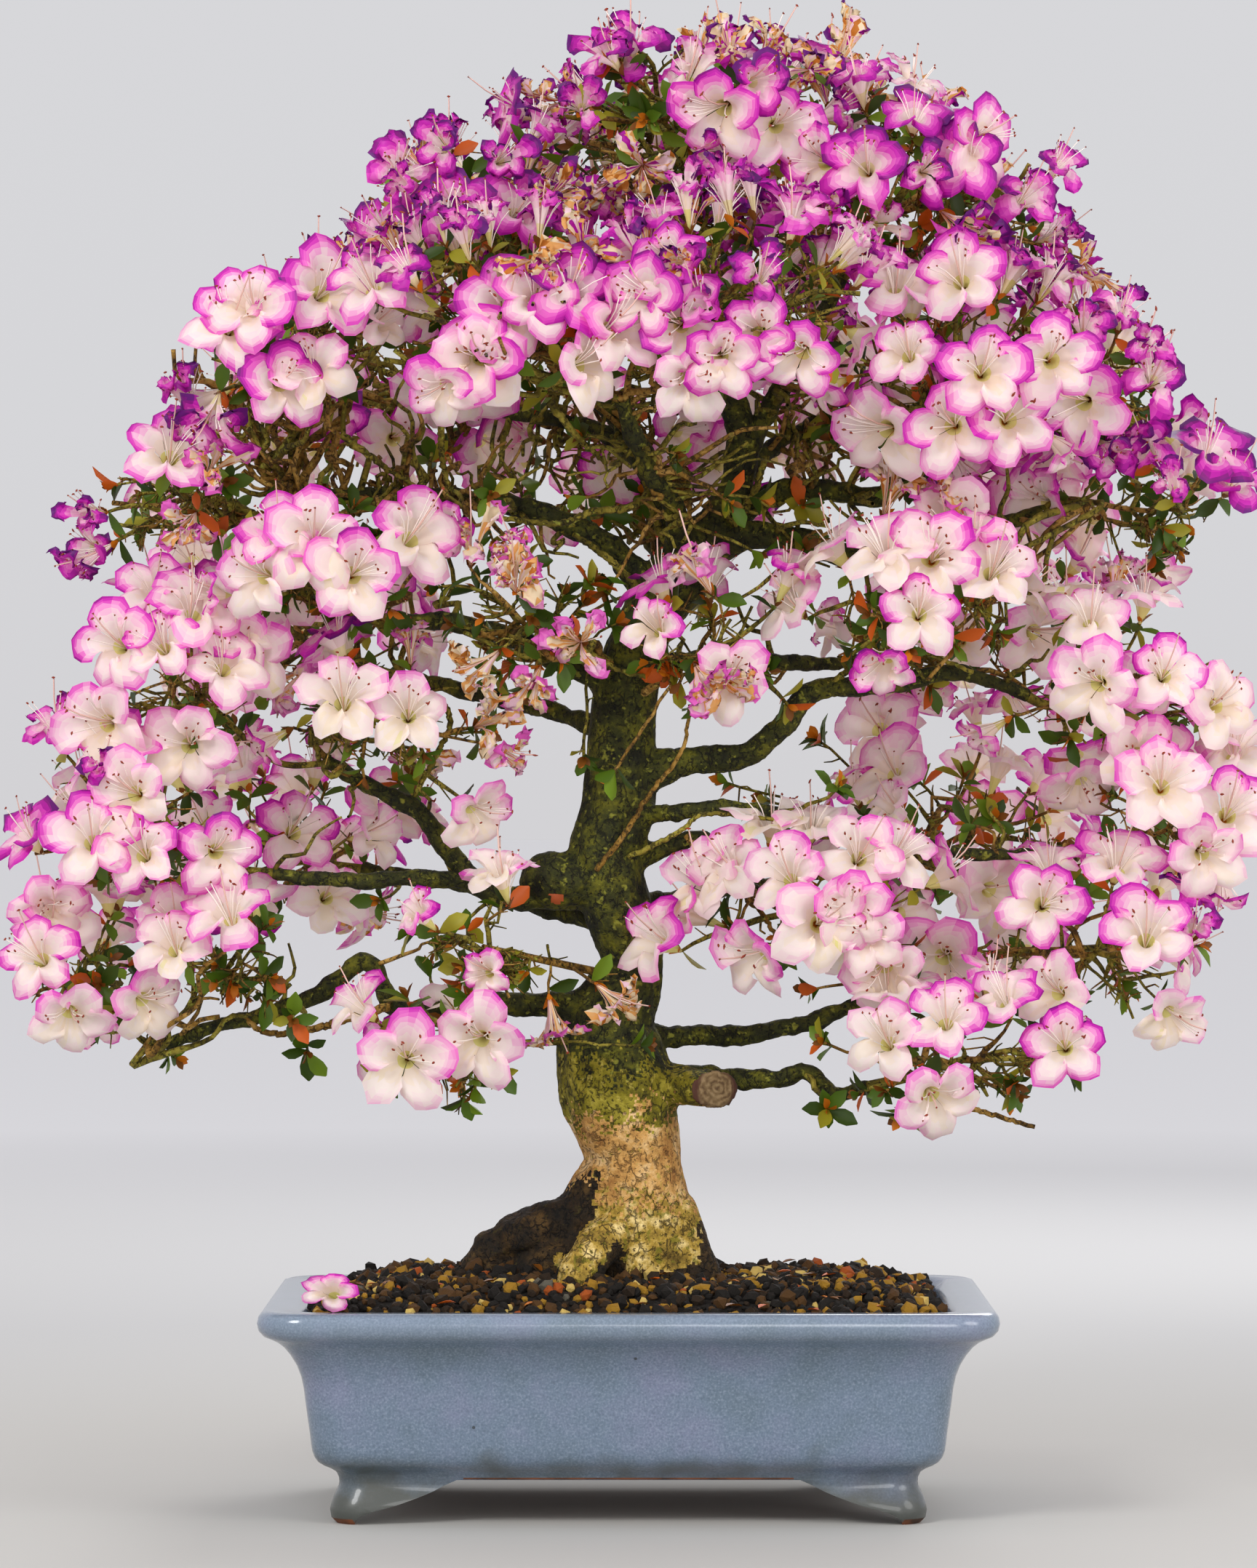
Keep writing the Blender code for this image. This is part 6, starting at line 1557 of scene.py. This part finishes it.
for place, ahead, facing, number, up, kind in shoots:
    high, back = place[2], place[1]
    share = next(share for least, share in FACING_SHARES if up > least or back > BACK_FROM)
    drawn = petal_random.random() < share
    blooms = kind != "leafy" and (drawn or kind != "")
    size = petal_random.uniform(0.82, 1.06) * LARGER.get(kind, 1.0)
    petals_at = place + facing * PETAL_DEPTH * size
    spread = PETAL_RADIUS * size * np.sqrt(1 - facing ** 2)
    style_end = place + facing * STYLE_REACH * size
    furthest = np.maximum(petals_at + spread, style_end - STYLE_OVER)
    nearest = np.minimum(petals_at - spread, style_end + STYLE_OVER)
    seat = place - np.maximum(furthest - LIMIT[1], 0) - np.minimum(nearest - LIMIT[0], 0)
    if up > BARE or petal_random.random() < BARE_TUFTS:
        leafy.append((seat, ahead, facing, not blooms))
    if not blooms or up == BARE:
        continue
    blossom_count += 1
    if high > CROWN_FROM:
        chances = CROWN_CHANCES
    elif back > BEHIND:
        chances = BACK_CHANCES
    else:
        chances = UPPER_CHANCES if high > UPPER_FROM else LOWER_CHANCES
    family = petal_random.choice(list(FAMILIES), p=chances)
    spent = 0.38 if high > CROWN_FROM + 0.02 else 0.05
    folded = 0.5 if high > CROWN_FROM else 0.18
    if petal_random.random() < spent:
        state = "spent"
    else:
        state = "half" if petal_random.random() < folded else "open"
    if state != "spent" and high > CROWN_FROM:
        state = petal_random.choice(CROWN_STATES, p=STATE_SHARES)
    if kind:
        tired = petal_random.choice(CROWN_STATES)
        state = {"spent": "spent", "half_open": "half", "dark": tired}.get(kind, "open")
        family = kind if kind in FAMILIES else "dark" if high > CROWN_FROM else "edged"
        if kind == "pale" and high > CROWN_FROM:
            family = "edged"
        elif kind == "edged" and high < RICH_FROM:
            family = "rimmed"
    roll = math.pi / 2 + petal_random.normal(0, 0.3)
    petal_parts[group_of[number]].append(blossom(seat, facing, roll, size, state, family))
    frame = turned(facing, roll).T * size
    full = STAMEN_SETS[petal_random.integers(8)]
    kept = SPENT_STAMENS if state == "spent" else BACK_STAMENS if back > BACK_FROM else len(full)
    for points, faces, look in full[-kept:]:
        stamen_parts.append((points @ frame + seat, faces, look))
for group, parts in petal_parts.items():
    petals = new_piece("blossom_" + group, parts, petal_finishes)
    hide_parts(*["mass_" + short for short in GROUPS[group]])
filament = new_finish("white_filament", Base_Color=linear("#fdf0e6"), Roughness=0.5)[0]
anther = new_finish("red_brown_anther", Base_Color=linear("#8e3014"), Roughness=0.7)[0]
style = new_finish("reddish_style", Base_Color=linear("#e8beb0"), Roughness=0.5)[0]
new_piece("stamens", stamen_parts, (filament, anther, style))
print(blossom_count, "blossoms")

# %% [markdown]
# ## Leaves
#
# The leaves are small, oval and slightly folded along the middle, with a leathery, waxy upper side.
# They stand in a whorl behind each blossom and make a fuller tuft where a shoot has none. Young ones
# are yellow-green, older ones darker, and a few have turned orange. Brown bud scales stay at the
# foot of the blossoms. Some turned leaves and scales have dropped on the soil.
# %% Set the leaves
LEAF_LENGTH, LEAF_WIDTH = 18 * MM, 8.8 * MM
LEAF_COLOURS = {"leaf_green": "#4a6612", "fresh_leaf_green": "#6a861c", "dark_leaf_green": "#324808",
                "young_yellow_green": "#9a9424", "turned_orange_leaf": "#c4580e", "bud_scale_orange": "#cc7414",
                "bud_scale_brown": "#7c4a16"}
LEAF_SHARES = (0.33, 0.20, 0.22, 0.14, 0.11)
FALLEN_LEAVES = 70
leaf_finishes = [thin_flesh(name, linear(colour), LEAF_LIGHT) for name, colour in LEAF_COLOURS.items()]
FOLD, DROOP = 0.45, 0.16
along = np.linspace(0, 1, 5)[:, None]
wide = np.array((0.12, 0.66, 1.0, 0.92, 0.10))[:, None] / 2
side = np.array((-1, 0, 1))[None, :]
folded = (np.abs(side) * wide * FOLD - DROOP * along ** 2) * LEAF_WIDTH
grid = np.broadcast_arrays(side * wide * LEAF_WIDTH, along * LEAF_LENGTH, folded)
leaf_points = np.stack(grid, axis=-1).reshape(-1, 3)
leaf_faces = grid_faces(5, 3, False)
leaf_random = np.random.default_rng(5)
leaf_parts = []


def put_leaf(place, way, up, size, look):
    way = unit(way)
    across = unit(np.cross(way, up))
    frame = np.column_stack((across, way, np.cross(across, way)))
    leaf_parts.append((leaf_points @ frame.T * size + place, leaf_faces, look))


for place, ahead, facing, tuft in leafy:
    count = leaf_random.integers(4, 7) if tuft else leaf_random.integers(1, 4)
    frame = turned(ahead, leaf_random.uniform(0, 6.3))
    for k in range(count):
        turn = k * 2.4 + leaf_random.uniform(-0.3, 0.3)
        lean = leaf_random.uniform(0.1, 1.0) if tuft else leaf_random.uniform(-0.35, 0.35)
        way = frame @ np.array((math.cos(turn), math.sin(turn), lean))
        foot = place - ahead * leaf_random.uniform(0, 9 if tuft else 7) * MM
        if clear_of_limbs(foot + way * LEAF_LENGTH, 0):
            put_leaf(foot, way, ahead, leaf_random.uniform(0.65, 1.2), leaf_random.choice(5, p=LEAF_SHARES))
    for k in range(3):
        way = turned(ahead if tuft else facing, k * 2.1) @ np.array((0.5, 0.0, 0.9))
        size, look = leaf_random.uniform(0.35, 0.65), leaf_random.choice((5, 6, 6))
        put_leaf(place - facing * MM, way, facing, size, look)
# the dropped ones
for _ in range(FALLEN_LEAVES):
    x = SHIFT[0] + leaf_random.uniform(-0.185, 0.185)
    y = SHIFT[1] + leaf_random.uniform(-0.125, 0.110)
    way = (*leaf_random.normal(size=2), leaf_random.uniform(-0.15, 0.3))
    foot = np.array((x, y, float(heap_height(x, y)) + 4.5 * MM))
    put_leaf(foot, way, (0, 0, 1), leaf_random.uniform(0.35, 0.75), leaf_random.choice((4, 5, 6, 6)))
half = len(leaf_parts) // 2
new_piece("leaves_high", leaf_parts[:half], leaf_finishes)
new_piece("leaves_low", leaf_parts[half:], leaf_finishes)

# %% [markdown]
# ## A fallen blossom
#
# One blossom has dropped and lies on the soil by the pot's rim, at the front left corner. It is
# made as the others are, half open, and sunk together a little under its own weight.
# %% Lay the fallen blossom
FALLEN_AT, FALLEN_FACING, SUNK = np.array((-0.178, -0.116, 0.1365)), np.array((-0.15, -0.9, 0.4)), 0.6
petals, faces, looks = blossom(FALLEN_AT, FALLEN_FACING, 1.2, 1.0, "half", "edged")
petals[:, 2] = FALLEN_AT[2] + (petals[:, 2] - FALLEN_AT[2]) * SUNK
new_piece("fallen_blossom", [(petals, faces, looks)], petal_finishes)

# %% [markdown]
# ## The size, measured again
#
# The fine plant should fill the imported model's box and hardly pass it.
# %% Measure and finish
fine_box = [list(corner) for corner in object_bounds()]
for label, (low, high) in (("fine", fine_box), ("packed", CAD_BOX)):
    print(label, "size", [round((b - a) / MM) for a, b in zip(low, high)], "mm")
